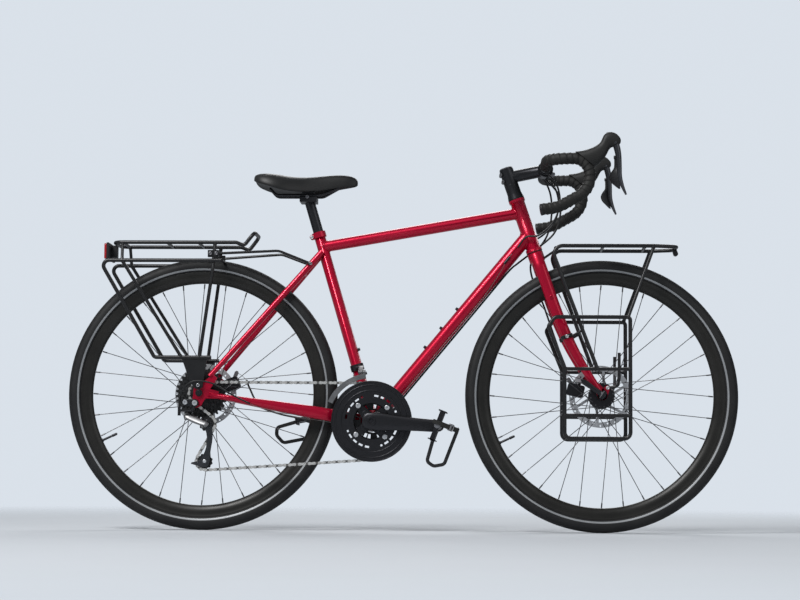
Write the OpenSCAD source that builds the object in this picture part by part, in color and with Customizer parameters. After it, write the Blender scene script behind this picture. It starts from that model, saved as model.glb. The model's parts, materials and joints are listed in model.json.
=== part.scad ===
/* [Geometry] */
// Distance between the two wheel axles
wheelbase = 1023; // [1000:1:1060]
// Outer radius of the tyres
tyre_r = 348; // [344:1:352]
// Height of the bottom bracket below the axles
bb_drop = 69; // [60:1:78]
// Rear axle to bottom bracket
chainstay = 444; // [440:1:460]
// Seat tube angle from the ground, degrees
seat_angle = 73.5; // [72:0.5:75]
// Head tube angle from the ground, degrees
head_angle = 71; // [70:0.5:72.5]
// Offset of the front axle from the steering axis
fork_rake = 41; // [38:1:50]
// Bottom bracket to the top of the seat tube
seat_tube_len = 508; // [490:1:540]
// Top of the seat tube down to the top tube axis
top_tube_drop = 38; // [32:1:46]
// Length of the head tube
head_tube_len = 143; // [130:1:160]
// Front axle to the lower end of the head tube, along the steering axis
fork_len = 406; // [398:1:415]
// Lower end of the head tube up to the down tube axis
down_tube_rise = 46; // [42:1:52]
// Upper end of the head tube down to the top tube axis
top_tube_head_drop = 37; // [30:1:44]

/* [Tubes] */
// Diameter of the top tube
top_tube_d = 28.6; // [25.4:0.2:31.8]
// Diameter of the down tube
down_tube_d = 34.9; // [31.8:0.1:38]
// Diameter of the seat tube
seat_tube_d = 28.6; // [28:0.2:31.8]
// Diameter of the head tube
head_tube_d = 37; // [36:0.5:40]
// Wall of the frame tubes
tube_wall = 1; // [0.7:0.1:2]
// Diameter of the seat post
post_d = 26.4; // [25.4:0.1:26.4]
// Diameter of the steerer tube
steerer_d = 28.6; // [25.4:0.2:28.6]
// Diameter of a seat stay at the seat tube
seat_stay_d = 17; // [14:1:19]
// Diameter of a seat stay at the dropout
seat_stay_tip_d = 14; // [12:1:16]
// Width of a chain stay
chain_stay_w = 16; // [14:1:17]
// Height of a chain stay near the bottom bracket
chain_stay_h = 31; // [24:1:34]
// Width of the bottom bracket shell
shell_w = 68; // [66:1:70]
// Diameter of the bottom bracket shell
shell_d = 41; // [39:1:44]

/* [Wheels] */
// Width of the tyre
tyre_w = 38; // [32:1:40]
// Outer radius of the rim
rim_r = 316; // [312:1:318]
// Radial depth of the rim
rim_depth = 31; // [22:1:34]
// Width of the rim
rim_w = 24; // [20:1:28]
// Spokes in each wheel
spokes = 32; // [24:4:36]
// Spoke thickness
spoke_d = 2; // [1.8:0.1:2.3]
// Front hub width between the dropouts
front_old = 100; // [98:1:104]
// Rear hub width between the dropouts
rear_old = 135; // [134:1:140]
// Brake rotor radius
rotor_r = 80; // [78:1:82]
// Brake rotor thickness
rotor_t = 1.8; // [1.6:0.1:2]
// Radius of the axles
axle_r = 5; // [4.5:0.1:5.5]

/* [Drive] */
// Teeth of the big, middle and small chainring
ring_teeth = [48, 36, 26];
// Teeth of the sprockets, smallest outside
cog_teeth = [11, 12, 14, 16, 18, 21, 24, 28, 32];
// Sprocket that the chain is on, counted from the outside
chain_cog = 2; // [2:1:4]
// Chain pitch
pitch = 12.7; // [12.6:0.05:12.8]
// Crank length
crank_len = 170; // [165:2.5:175]
// Crank angle below the horizon, degrees
crank_tilt = 4; // [0:1:10]
// Radius of the chain guard
guard_r = 103; // [102:1:106]
// Distance between sprockets
cog_step = 4.35; // [4.2:0.05:4.5]
// Bolt circle of the two larger chainrings
ring_bcd = 104; // [102:1:106]
// Guide pulley below the rear axle
guide_drop = 77; // [75:1:84]
// Distance between the two pulleys
cage_len = 96; // [90:1:105]

/* [Cockpit] */
// Stem length from the steerer to the bar
stem_len = 96; // [80:1:110]
// Rise of the stem above the horizon, degrees
stem_rise = 11.5; // [0:0.5:17]
// Top of the head tube to the middle of the stem
stem_stack = 61; // [54:1:80]
// Width of the handlebar between the hoods
bar_w = 380; // [360:5:440]
// Diameter of the bare handlebar
bar_d = 24; // [23:0.2:25]
// Diameter of the handlebar in the stem clamp
bar_clamp_d = 31.8; // [31:0.1:32]
// Diameter over the bar tape
tape_d = 30; // [28:0.5:32]
// Reach of the handlebar
bar_reach = 105; // [100:1:115]
// Drop of the handlebar
bar_drop = 128; // [124:1:134]
// Seat post above the seat collar, to the rails
post_out = 92; // [88:1:110]
// Saddle length
saddle_len = 268; // [255:1:280]
// Saddle width
saddle_w = 152; // [135:1:170]

/* [Racks] */
// Rack tube diameter
rack_d = 10; // [8:0.5:12]
// Rear rack rails above the axle
rack_h = 387; // [380:1:400]
// Half the width of the rear rack top
rack_half = 57; // [50:1:66]
// Front rack rails above the axle
tray_h = 380; // [375:1:395]
// Half the width of the front rack top
tray_half = 61; // [55:1:70]
// Pannier frames from the middle plane
pannier_y = 88; // [86:1:100]

/* [Hidden] */
$fn = 48;

// Running clearance of a shaft in its bore, and the room between parts of two bodies
run = 0.05;
room = 0.4;

// Paint and finish colours
red = "#b3122a";
black = "#1d1d1f";
dark = "#33322f";
steel = "#b9bcc0";

// Main points of the bicycle
rear_axle_at = [-wheelbase / 2, 0, tyre_r];
front_axle_at = [wheelbase / 2, 0, tyre_r];
bb_at = rear_axle_at + [sqrt(chainstay * chainstay - bb_drop * bb_drop), 0, -bb_drop];
seat_dir = [-cos(seat_angle), 0, sin(seat_angle)];
seat_fwd = [sin(seat_angle), 0, cos(seat_angle)];
head_dir = [-cos(head_angle), 0, sin(head_angle)];
head_fwd = [sin(head_angle), 0, cos(head_angle)];
steer_foot = front_axle_at - head_fwd * fork_rake;
head_lo = steer_foot + head_dir * fork_len;
head_hi = head_lo + head_dir * head_tube_len;
seat_top = bb_at + seat_dir * seat_tube_len;
top_at_seat = seat_top - seat_dir * top_tube_drop;
top_at_head = head_hi - head_dir * top_tube_head_drop;
down_at_head = head_lo + head_dir * down_tube_rise;

// Vector helpers
function unit(v) = v / norm(v);
function mirror_y(p) = [p.x, -p.y, p.z];
function lerp(a, b, t) = a + (b - a) * t;
// Point in the frame of a wheel: radius, angle from +X towards +Z, and sideways place
function wheel_point(c, r, a, y) = c + [r * cos(a), y, r * sin(a)];

// Stands its children on p with their Z axis towards q
module along(p, q) {
  v = q - p;
  translate(p) rotate([0, acos(v.z / norm(v)), atan2(v.y, v.x)]) children();
}

// Round rod from p to q, tapered when d2 is given
module rod(p, q, d, d2 = undef) {
  along(p, q) cylinder(h = norm(q - p), d1 = d, d2 = is_undef(d2) ? d : d2);
}

// Child and its mirror image on the other side of the bicycle
module both_sides() {
  children();
  mirror([0, 1, 0]) children();
}

// Turned piece on a sideways axis through c; the profile is drawn as radius, sideways place
module turned(c, facets = 120) {
  translate(c) rotate([-90, 0, 0]) rotate_extrude($fn = facets) children();
}

// Round bar on a sideways axis through c from y1 to y2
module across(c, r, y1, y2) {
  translate([c.x, y1, c.z]) rotate([-90, 0, 0]) cylinder(h = y2 - y1, r = r);
}

// Plate in the X-Z plane from y1 to y2, drawn with X and Z
module plate(y1, y2) {
  translate([0, y2, 0]) rotate([90, 0, 0]) linear_extrude(y2 - y1) children();
}

// Loft of oval rings along a path; each size is half width towards ref and half height
function ring_dir(path, i, closed) =
  let (m = len(path))
  closed ? unit(path[(i + 1) % m] - path[(i + m - 1) % m])
    : unit(path[min(i + 1, m - 1)] - path[max(i - 1, 0)]);
function ring_points(c, t, size, ref, n) =
  let (s = unit(ref - t * (t * ref)), h = cross(t, s))
  [for (k = [0 : n - 1]) c + s * size[0] * cos(360 * k / n) + h * size[1] * sin(360 * k / n)];
module loft(path, sizes, n = 16, ref = [0, 1, 0], closed = false) {
  m = len(path);
  rings = [for (i = [0 : m - 1]) each ring_points(path[i], ring_dir(path, i, closed), sizes[i], ref, n)];
  sides = [for (i = [0 : closed ? m - 1 : m - 2]) for (k = [0 : n - 1]) each
    let (a = i * n + k, b = i * n + (k + 1) % n, c = (a + n) % (m * n), d = (b + n) % (m * n))
    [[a, c, b], [b, c, d]]];
  lids = [for (k = [1 : n - 2]) each
    [[0, k, k + 1], [(m - 1) * n, (m - 1) * n + k + 1, (m - 1) * n + k]]];
  polyhedron(rings, closed ? sides : concat(sides, lids), convexity = 6);
}

// Rounded corner b of a rod on its way from a to c, as points of the arc
function corner(a, b, c, bend, steps = 4) =
  let (u = unit(b - a), w = unit(c - b), turn = acos(u * w), n = (w - u * cos(turn)) / sin(turn),
    o = b - u * bend * tan(turn / 2) + n * bend)
  [for (j = [0 : steps]) let (g = turn * j / steps) o + bend * (u * sin(g) - n * cos(g))];
function bent_path(pts, bends) =
  concat([pts[0]], [for (i = [1 : len(pts) - 2]) each corner(pts[i - 1], pts[i], pts[i + 1], bends[i - 1])],
    [pts[len(pts) - 1]]);
rod_sides = 12;
module swept(path, d, ref = [0, 1, 1], closed = false) {
  loft(path, [for (q = path) [d / 2, d / 2]], rod_sides, ref, closed);
}
// Rod bent at its inner points, with one bend radius for each of them
module bent_rod(pts, bends, d, ref = [0, 1, 1]) { swept(bent_path(pts, bends), d, ref); }
// Closed loop of rod, bent at every point
module bent_loop(pts, bends, d) {
  m = len(pts);
  path = [for (i = [0 : m - 1]) each corner(pts[(i + m - 1) % m], pts[i], pts[(i + 1) % m], bends[i])];
  swept(path, d, closed = true);
}
function backwards(pts) = [for (i = [len(pts) - 1 : -1 : 0]) pts[i]];

// Slot outline: a straight bar with round ends between two points of a plane
module slot_shape(p, q, r) {
  translate(p) circle(r);
  translate(q) circle(r);
  translate((p + q) / 2) rotate(atan2(q.y - p.y, q.x - p.x)) square([norm(q - p), 2 * r], center = true);
}

// Tube of a frame between two points, closed at neither end
module tube_wall_of(p, q, d, wall) {
  difference() {
    rod(p, q, d);
    rod(p - unit(q - p), q + unit(q - p), d - 2 * wall);
  }
}

// Frame tubes, each cut to its neighbours
module seat_tube_solid() { rod(bb_at, seat_top, seat_tube_d); }
module shell_solid(grow = 0) { across(bb_at, shell_d / 2 + grow, -shell_w / 2, shell_w / 2); }
head_rim_d = head_tube_d + 5;
head_rim_h = 8;
module head_solid() {
  rod(head_lo, head_hi, head_tube_d);
  rod(head_lo, head_lo + head_dir * head_rim_h, head_rim_d);
  rod(head_hi - head_dir * head_rim_h, head_hi, head_rim_d);
}
cup_wall = 1.5;
head_bore_d = head_tube_d - 2 * cup_wall;
module head_tube() {
  color(red) difference() {
    head_solid();
    rod(head_lo - head_dir, head_hi + head_dir, head_bore_d);
  }
}
module top_tube() {
  color(red) difference() {
    tube_wall_of(top_at_seat, top_at_head, top_tube_d, tube_wall);
    head_solid();
    seat_tube_solid();
  }
}
module down_tube() {
  color(red) difference() {
    tube_wall_of(bb_at, down_at_head, down_tube_d, tube_wall);
    head_solid();
    shell_solid();
    seat_tube_solid();
  }
}
bb_bore_r = 17;
post_bore_d = post_d + 2 * run;
module seat_tube() {
  color(red) difference() {
    union() {
      seat_tube_solid();
      shell_solid();
    }
    rod(bb_at, seat_top + seat_dir, post_bore_d);
    across(bb_at, bb_bore_r, -shell_w, shell_w);
  }
}

// Rear end: stays run from the shell and the seat tube to the dropout plates
drop_t = 6;
drop_y = rear_old / 2;
stay_y = drop_y + drop_t / 2;
chain_stay_front = bb_at + [-8, 22, 0];
chain_stay_rear = rear_axle_at + [24, stay_y, -4];
module chain_stay_solid() {
  stations = [0, 0.35, 0.62, 0.86, 1];
  path = [for (t = stations) lerp(chain_stay_front, chain_stay_rear, t)];
  w = chain_stay_w / 2;
  h = chain_stay_h / 2;
  loft(path, [[w, h], [w + 0.5, h + 0.5], [w + 1, h - 3.5], [w - 0.5, w - 0.5], [w - 1, w - 1]]);
}
hanger_at = [-9, -26];
hanger_r = 5;
rack_eye = [-2, 0, 19];
module dropout_plates() {
  both_sides() translate([rear_axle_at.x, 0, rear_axle_at.z]) plate(drop_y, drop_y + drop_t)
    polygon([[-14, 12], [-8, 27], [6, 27], [36, 46], [46, 38], [28, 10], [50, 4], [48, -14], [16, -14],
      [4, -34], [-8, -38], [-20, -32], [-16, -10]]);
}
module rear_dropouts() {
  color(red) difference() {
    dropout_plates();
    both_sides() {
      across(rear_axle_at, axle_r, 0, rear_old);
      across(rear_axle_at + rack_eye, 2.6, 0, rear_old);
      across(rear_axle_at + [hanger_at.x, 0, hanger_at.y], hanger_r, 0, rear_old);
    }
  }
}
module chain_stays() {
  bridge = lerp(chain_stay_front, chain_stay_rear, 0.16);
  color(red) difference() {
    union() {
      both_sides() chain_stay_solid();
      rod(bridge, mirror_y(bridge), 12);
    }
    shell_solid();
    dropout_plates();
  }
}
seat_stay_foot = rear_axle_at + [26, stay_y, 42];
seat_stay_head = seat_top - seat_dir * (top_tube_drop + 14) + [-4, 13, 0];
module seat_stays() {
  bridge = lerp(seat_stay_foot, seat_stay_head, 0.83);
  color(red) difference() {
    union() {
      both_sides() rod(seat_stay_foot, seat_stay_head, seat_stay_tip_d, seat_stay_d);
      rod(bridge, mirror_y(bridge), 12);
    }
    seat_tube_solid();
    dropout_plates();
  }
}
collar_h = 13;
collar_wall = 3.5;
module seat_collar() {
  ear = seat_top - seat_dir * collar_h / 2 - seat_fwd * (seat_tube_d / 2 + 5);
  color(red) difference() {
    union() {
      rod(seat_top - seat_dir * collar_h, seat_top + seat_dir * 1.5, seat_tube_d + 2 * collar_wall);
      across(ear, 5.5, -12, 12);
    }
    rod(seat_top - seat_dir * (collar_h + 1), seat_top, seat_tube_d);
    rod(seat_top - seat_dir, seat_top + seat_dir * 3, post_bore_d);
  }
}

// Pressed headset cups and screwed bottom bracket cups
cup_flange = 2;
cup_depth = 12;
spindle_r = 12;
bb_cup_w = 8;
bb_cup_r = 22;
module headset_cup(p, dir) {
  difference() {
    union() {
      rod(p, p + dir * cup_flange, head_rim_d);
      rod(p - dir * cup_depth, p, head_bore_d);
    }
    rod(p - dir * (cup_depth + 1), p + dir * (cup_flange + 1), steerer_d + 2 * run);
  }
}
module bearing_cups() {
  color(steel) {
    headset_cup(head_lo, -head_dir);
    headset_cup(head_hi, head_dir);
    both_sides() difference() {
      union() {
        across(bb_at, bb_cup_r, shell_w / 2, shell_w / 2 + bb_cup_w);
        across(bb_at, bb_bore_r, shell_w / 2 - cup_depth, shell_w / 2);
      }
      across(bb_at, spindle_r + run, 0, shell_w);
    }
  }
}

// Bottle-cage bolts on the tubes and adjusters on the down tube
boss_pitch = 64;
down_boss = 233;
seat_boss = 125;
boss_d = 9;
bolt_h = 4;
down_dir = unit(down_at_head - bb_at);
down_up = [-down_dir.z, 0, down_dir.x];
adjuster_at = 528;
adjuster_d = 7;
module tube_bolt(p, out, tube_d) {
  difference() {
    union() {
      rod(p, p + out * (tube_d / 2 + 2), boss_d);
      rod(p, p + out * (tube_d / 2 + 2 + bolt_h), boss_d - 1.5);
    }
    rod(p - cross(out, [0, 1, 0]) * boss_d, p + cross(out, [0, 1, 0]) * boss_d, tube_d);
  }
}
module frame_bolts() {
  color(black) {
    for (i = [0 : 2]) tube_bolt(bb_at + down_dir * (down_boss + i * boss_pitch), down_up, down_tube_d);
    for (i = [0 : 1]) tube_bolt(bb_at + seat_dir * (seat_boss + i * boss_pitch), seat_fwd, seat_tube_d);
    both_sides() {
      p = bb_at + down_dir * adjuster_at + [0, down_tube_d / 2 + adjuster_d / 2, 0];
      rod(p, p + down_dir * 22, adjuster_d);
    }
    both_sides() {
      y = drop_y + drop_t + rack_gap;
      across(rear_axle_at + rack_eye, 2.5, drop_y, y + rack_plate_t + 1);
      across(rear_axle_at + rack_eye, 6, drop_y + drop_t, y);
      across(rear_axle_at + rack_eye, 4.5, y + rack_plate_t, y + rack_plate_t + bolt_h);
    }
  }
}

// Rear rack: top loop, lower rails, struts, foot plates, stays and reflector
rack_gap = 3;
rack_plate_t = 4;
low_half = rack_half + 14;
foot_half = drop_y + drop_t + rack_gap + rack_plate_t / 2;
rack_low = rack_h - 48;
rack_foot = 90;
rack_back = -228;
stay_d = 7;
reflector_t = 14;
rack_loop = [for (p = [[rack_back, rack_half, rack_h], [88, rack_half, rack_h], [108, rack_half, rack_h - 8],
  [134, rack_half, rack_h + 26]]) rear_axle_at + p];
module rear_rack_half() {
  a = rear_axle_at;
  y = drop_y + drop_t + rack_gap;
  side = [for (p = [[52, low_half, rack_low], [-262, low_half, rack_low], [-115, foot_half, rack_foot],
    [30, foot_half, rack_foot]]) a + p];
  strut = [for (p = [[33, rack_half, rack_h], [29, low_half, rack_low - 26],
    [0, foot_half, rack_foot]]) a + p];
  bolt = lerp(seat_stay_foot, seat_stay_head, 0.9) + [0, seat_stay_d / 2 + stay_d / 2, 0];
  bent_rod(side, [14, 10], rack_d);
  rod(a + [-206, rack_half, rack_h], a + [-204, low_half, rack_low], rack_d - 2);
  rod(a + [-204, low_half, rack_low], a + [-46, foot_half, rack_foot], rack_d - 1);
  bent_rod(strut, [60], rack_d - 1);
  translate([a.x, 0, a.z]) plate(y, y + rack_plate_t) difference() {
    polygon([[-46, rack_foot], [20, rack_foot], [9, 14], [-2, 9.5], [-13, 14], [-24, 30]]);
    translate([rack_eye.x, rack_eye.z]) circle(3);
  }
  bent_rod([a + [30, low_half - 6, rack_low + 18], a + [196, 45, rack_h - 20], bolt], [40], stay_d);
}
module rear_rack() {
  a = rear_axle_at;
  color(black) {
    bent_loop(concat(rack_loop, backwards([for (p = rack_loop) mirror_y(p)])),
      [24, 14, 10, 18, 18, 10, 14, 24], rack_d);
    both_sides() rear_rack_half();
    for (x = [-206, -92, -11]) rod(a + [x, -rack_half, rack_h], a + [x, rack_half, rack_h], rack_d - 2);
    translate(a + [rack_back - 14, -10, rack_h - 30]) cube([14, 20, 30]);
  }
  color("#8c1018") translate(a + [rack_back - 14 - reflector_t, -45, rack_h - 42])
    cube([reflector_t, 90, 42]);
}

// Axles with their cones and nuts
nut_r = 9;
nut_h = 7;
module axle_group(c, half, wall, cone_l, cone_r) {
  across(c, axle_r, -half - wall - nut_h - 2, half + wall + nut_h + 2);
  across(c, nut_r - 0.5, -half, -cone_l);
  across(c, nut_r - 0.5, cone_r, half);
  both_sides() across(c, nut_r, half + wall, half + wall + nut_h);
}
hub_gap = 0.3;
rear_hub_left = rear_old / 2 - 7;
cassette_out = rear_old / 2 - 4;
front_hub_half = front_old / 2 - 6;
module rear_axle() {
  color(steel) axle_group(rear_axle_at, drop_y, drop_t, cassette_out + hub_gap, rear_hub_left + hub_gap);
}
module front_axle() {
  color(steel) {
    difference() {
      axle_group(front_axle_at, front_old / 2, fork_tip_t, front_hub_half + hub_gap,
        front_hub_half + hub_gap);
      across(front_axle_at, nut_r + 1, -front_old, -front_old / 2 - fork_tip_t - nut_h);
    }
    cam_ears();
  }
}

// Disc calipers: a block around the rotor, two pads and a pivot post for the arm
pad_gap = 0.5;
pad_t = 4;
caliper_in = 12;
caliper_out = 13;
post_r = 4;
arm_t = 4;
arm_len = 34;
rear_rotor_y = rear_old / 2 - 15.5;
front_rotor_y = front_old / 2 - 10.5;
rear_caliper_at = [66, 0, 27];
front_caliper_at = [-64, 0, 16];
module caliper_block(axle, at, rotor_y, tilt) {
  c = axle + at;
  y_out = rotor_y + caliper_out;
  y_cap = y_out + arm_t + 2 * room;
  slot = rotor_t / 2 + pad_gap + pad_t;
  difference() {
    translate([c.x, 0, c.z]) plate(rotor_y - caliper_in, y_out) rotate(tilt) rounded_square(44, 32, 6);
    across(axle, rotor_r + 3, rotor_y - slot, rotor_y + slot);
  }
  across(c, post_r, y_out, y_cap);
  across(c, post_r + 3, y_cap, y_cap + 2);
  for (s = [-1, 1]) {
    y = rotor_y + s * (rotor_t / 2 + pad_gap + pad_t / 2) + 0.05 * (1 - s);
    pad = axle + unit(at) * (rotor_r - 12);
    translate([pad.x, 0, pad.z]) plate(y - pad_t / 2, y + pad_t / 2 - 0.1) rotate(tilt)
      square([18, 18], center = true);
  }
}
module rounded_square(w, h, r) {
  union() {
    square([w - 2 * r, h], center = true);
    square([w, h - 2 * r], center = true);
    for (x = [-1, 1]) for (y = [-1, 1]) translate([x * (w / 2 - r), y * (h / 2 - r)]) circle(r);
  }
}
module caliper_arm(axle, at, rotor_y, angle) {
  c = axle + at;
  y = rotor_y + caliper_out + room;
  translate([c.x, 0, c.z]) plate(y, y + arm_t) difference() {
    union() {
      circle(9);
      rotate(angle) slot_shape([0, 0], [arm_len, 0], 5);
    }
    circle(post_r + run);
  }
}
module rear_caliper() {
  color(dark) {
    caliper_block(rear_axle_at, rear_caliper_at, rear_rotor_y, 22);
    translate([rear_axle_at.x, 0, rear_axle_at.z]) plate(drop_y - 8, drop_y)
      slot_shape([28, 22], [46, 30], 5);
  }
}
module front_caliper() {
  color(dark) difference() {
    union() {
      caliper_block(front_axle_at, front_caliper_at, front_rotor_y, -14);
      translate([front_axle_at.x, 0, front_axle_at.z]) plate(front_rotor_y + 4, front_rotor_y + 12)
        slot_shape([-60, 24], [-44, 70], 7);
    }
    blade_solid();
  }
}
module rear_caliper_arm() { color(dark) caliper_arm(rear_axle_at, rear_caliper_at, rear_rotor_y, 70); }
module front_caliper_arm() { color(dark) caliper_arm(front_axle_at, front_caliper_at, front_rotor_y, 120); }

// Chain drive: pitch circles of the four toothed wheels, in the order that the chain runs
chain_half = 3.1;
chain_y = -(cassette_out - 1.5 - chain_cog * cog_step);
pulley_teeth = 11;
cage_tilt = 2;
function pitch_r(t) = pitch / (2 * sin(180 / t));
guide_at = rear_axle_at + [18, 0, -guide_drop];
tension_at = guide_at + cage_len * [-sin(cage_tilt), 0, -cos(cage_tilt)];
function flat(p) = [p.x, p.z];
drive = [
  [flat(bb_at), pitch_r(ring_teeth[0]), -1],
  [flat(tension_at), pitch_r(pulley_teeth), -1],
  [flat(guide_at), pitch_r(pulley_teeth), 1],
  [flat(rear_axle_at), pitch_r(cog_teeth[chain_cog]), -1]];
function run_angle(i) =
  let (a = drive[i], b = drive[(i + 1) % 4], d = b[0] - a[0], k = b[2] * b[1] - a[2] * a[1])
  atan2(d.y, d.x) - asin(k / norm(d));
function run_length(i) =
  let (a = drive[i], b = drive[(i + 1) % 4], k = b[2] * b[1] - a[2] * a[1])
  sqrt(pow(norm(b[0] - a[0]), 2) - k * k);
function contact(i, angle) = angle - 90 * drive[i][2];
function wrap(x) = x - 360 * floor(x / 360);
function sweep(i) =
  let (a_in = contact(i, run_angle((i + 3) % 4)), a_out = contact(i, run_angle(i)))
  drive[i][2] > 0 ? wrap(a_out - a_in) : -wrap(a_in - a_out);
function arc_length(i) = abs(sweep(i)) * PI / 180 * drive[i][1];
function on_circle(c, r, a) = c + r * [cos(a), sin(a)];
// Place along the chain, measured from where it leaves the big chainring
function chain_place(s, i = 0) =
  s <= run_length(i)
    ? on_circle(drive[i][0], drive[i][1], contact(i, run_angle(i))) + on_circle([0, 0], s, run_angle(i))
    : let (rest = s - run_length(i), j = (i + 1) % 4)
      rest <= arc_length(j) || i == 3
        ? on_circle(drive[j][0], drive[j][1],
            contact(j, run_angle(i)) + sign(sweep(j)) * rest / drive[j][1] * 180 / PI)
        : chain_place(rest - arc_length(j), j);
chain_path = run_length(0) + run_length(1) + run_length(2) + run_length(3)
  + arc_length(0) + arc_length(1) + arc_length(2) + arc_length(3);
links = 2 * round(chain_path / pitch / 2);
link_plate = 0.8;
pin_r = 1.8;
module chain() {
  color(steel) for (k = [0 : links - 1]) {
    p = chain_place(chain_path * k / links);
    q = chain_place(chain_path * ((k + 1) % links) / links);
    if (k % 2 == 0) {
      for (s = [-1, 1]) {
        y = chain_y + s * (chain_half - link_plate / 2);
        plate(y - link_plate / 2, y + link_plate / 2) slot_shape(p, q, 4);
      }
      for (c = [p, q]) across([c.x, 0, c.y], pin_r, chain_y - chain_half, chain_y + chain_half);
    } else for (s = [-1, 1]) {
      y = chain_y + s * (chain_half - 2 * link_plate / 2 - 0.2 - link_plate / 2);
      plate(y - link_plate / 2, y + link_plate / 2) difference() {
        slot_shape(p, q, 4.2);
        for (c = [p, q]) translate(c) circle(pin_r + 0.2);
      }
    }
  }
}

// Toothed wheel with its teeth as one outline
tooth_out = 2.4;
tooth_root = 4.2;
module toothed(t, tip, bore) {
  n = 4 * t;
  difference() {
    polygon([for (i = [0 : n - 1])
      let (r = i % 4 < 2 ? tip : pitch_r(t) - tooth_root, part = [0.36, 0.64, 0.85, 1.15][i % 4])
      on_circle([0, 0], r, 360 / t * (floor(i / 4) + part))]);
    circle(bore);
  }
}
function free_tip(t) = pitch_r(t) + tooth_out;
function chain_tip(t) = pitch_r(t) - pin_r - room;
cog_t = 1.6;
freehub_r = 15;
module cassette() {
  c = rear_axle_at;
  color(dark) {
    translate([c.x, 0, c.z]) for (i = [0 : len(cog_teeth) - 1]) {
      y = -(cassette_out - 1.5 - i * cog_step);
      t = cog_teeth[i];
      plate(y - cog_t / 2, y + cog_t / 2) toothed(t, i == chain_cog ? chain_tip(t) : free_tip(t), freehub_r);
    }
    last = -(cassette_out - 1.5 - (len(cog_teeth) - 1) * cog_step) + cog_t / 2;
    turned(c) translate([axle_r + run, -cassette_out])
      square([freehub_r - axle_r - run, cassette_out + last]);
    for (i = [0 : len(cog_teeth) - 2]) {
      y = -(cassette_out - 1.5 - i * cog_step) + cog_t / 2;
      turned(c) translate([freehub_r, y]) square([2.5, cog_step - cog_t]);
    }
  }
}

// Crank arms on the spindle, with the spider in one piece with the right arm
ring_t = 2;
ring_step = 7.5;
spider_t = ring_step - ring_t;
spider_out = chain_y + ring_t / 2;
guard_t = 2.5;
guard_gap = 0.7;
guard_in = chain_y - chain_half - guard_gap;
crank_in = 65.5;
crank_t = 13.5;
crank_hub_r = 20;
ring_inner_r = ring_bcd / 2 - 6;
pedal_right_at = bb_at + crank_len * [cos(crank_tilt), 0, -sin(crank_tilt)];
pedal_left_at = bb_at - crank_len * [cos(crank_tilt), 0, -sin(crank_tilt)];
pedal_axle_r = 7;
spider_turn = 45 - crank_tilt;
small_bcd = 64;
module crank_arm_shape(tip) {
  a = flat(bb_at);
  b = flat(tip);
  side = [-(b - a).y, (b - a).x] / norm(b - a);
  difference() {
    union() {
      translate(a) circle(crank_hub_r);
      translate(b) circle(14);
      polygon([a + side * 18, b + side * 13.5, b - side * 13.5, a - side * 18]);
    }
    translate(a) circle(spindle_r);
  }
}
module crank_arms() {
  hub_in = shell_w / 2 + bb_cup_w + 1;
  color(black) {
    difference() {
      union() {
        plate(-crank_in - crank_t, -crank_in) crank_arm_shape(pedal_right_at);
        across(bb_at, crank_hub_r, -crank_in - crank_t, -hub_in);
        translate([bb_at.x, 0, bb_at.z]) plate(spider_out, spider_out + spider_t)
          for (i = [0 : 3]) rotate(90 * i + spider_turn) slot_shape([0, 0], [ring_bcd / 2, 0], 8);
        for (i = [0 : 3]) across(bb_at + small_spot(i), 5, spider_out + spider_t, inner_ring_out);
      }
      across(bb_at, spindle_r, -100, 0);
      for (i = [0 : 3]) across(bb_at + ring_spot(i), 4, -100, 0);
      across(pedal_right_at, pedal_axle_r, -120, 0);
    }
    difference() {
      union() {
        plate(crank_in, crank_in + crank_t) crank_arm_shape(pedal_left_at);
        across(bb_at, crank_hub_r, hub_in, crank_in + crank_t);
      }
      across(bb_at, spindle_r, 0, 100);
      across(pedal_left_at, pedal_axle_r, 0, 120);
    }
  }
  color(steel) {
    across(bb_at, spindle_r, -crank_in - crank_t, crank_in + crank_t);
    pedal_spindle(pedal_left_at);
    right_side() pedal_spindle(pedal_right_at);
  }
}
inner_ring_out = spider_out + spider_t + ring_t + spider_t;
function ring_spot(i) = ring_bcd / 2 * [cos(90 * i + spider_turn), 0, sin(90 * i + spider_turn)];
function small_spot(i) = small_bcd / 2 * [cos(90 * i + spider_turn), 0, sin(90 * i + spider_turn)];
module chainrings() {
  color(dark) {
    translate([bb_at.x, 0, bb_at.z]) {
      plate(spider_out - ring_t, spider_out) ring_shape(0, chain_tip(ring_teeth[0]));
      plate(spider_out + spider_t, spider_out + spider_t + ring_t) ring_shape(1, free_tip(ring_teeth[1]));
      plate(inner_ring_out, inner_ring_out + ring_t)
        toothed(ring_teeth[2], free_tip(ring_teeth[2]), small_bcd / 2 - 5);
    }
  }
  color(steel) for (i = [0 : 3]) {
    across(bb_at + ring_spot(i), 3.9, guard_in - guard_t - 1, spider_out + spider_t + ring_t);
    across(bb_at + ring_spot(i), 6, guard_in - guard_t - 2, guard_in - guard_t);
  }
}
module ring_shape(i, tip) {
  difference() {
    toothed(ring_teeth[i], tip, ring_inner_r);
    for (k = [0 : 3]) rotate(90 * k + spider_turn) translate([ring_bcd / 2, 0]) circle(4);
  }
}
module chain_guard() {
  color(black) difference() {
    union() {
      turned(bb_at) translate([ring_inner_r, guard_in - guard_t]) square([guard_r - ring_inner_r, guard_t]);
      turned(bb_at) translate([ring_inner_r, guard_in]) square([12, spider_out - ring_t - guard_in]);
    }
    for (i = [0 : 3]) across(bb_at + ring_spot(i), 4, -100, 0);
  }
}

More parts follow.
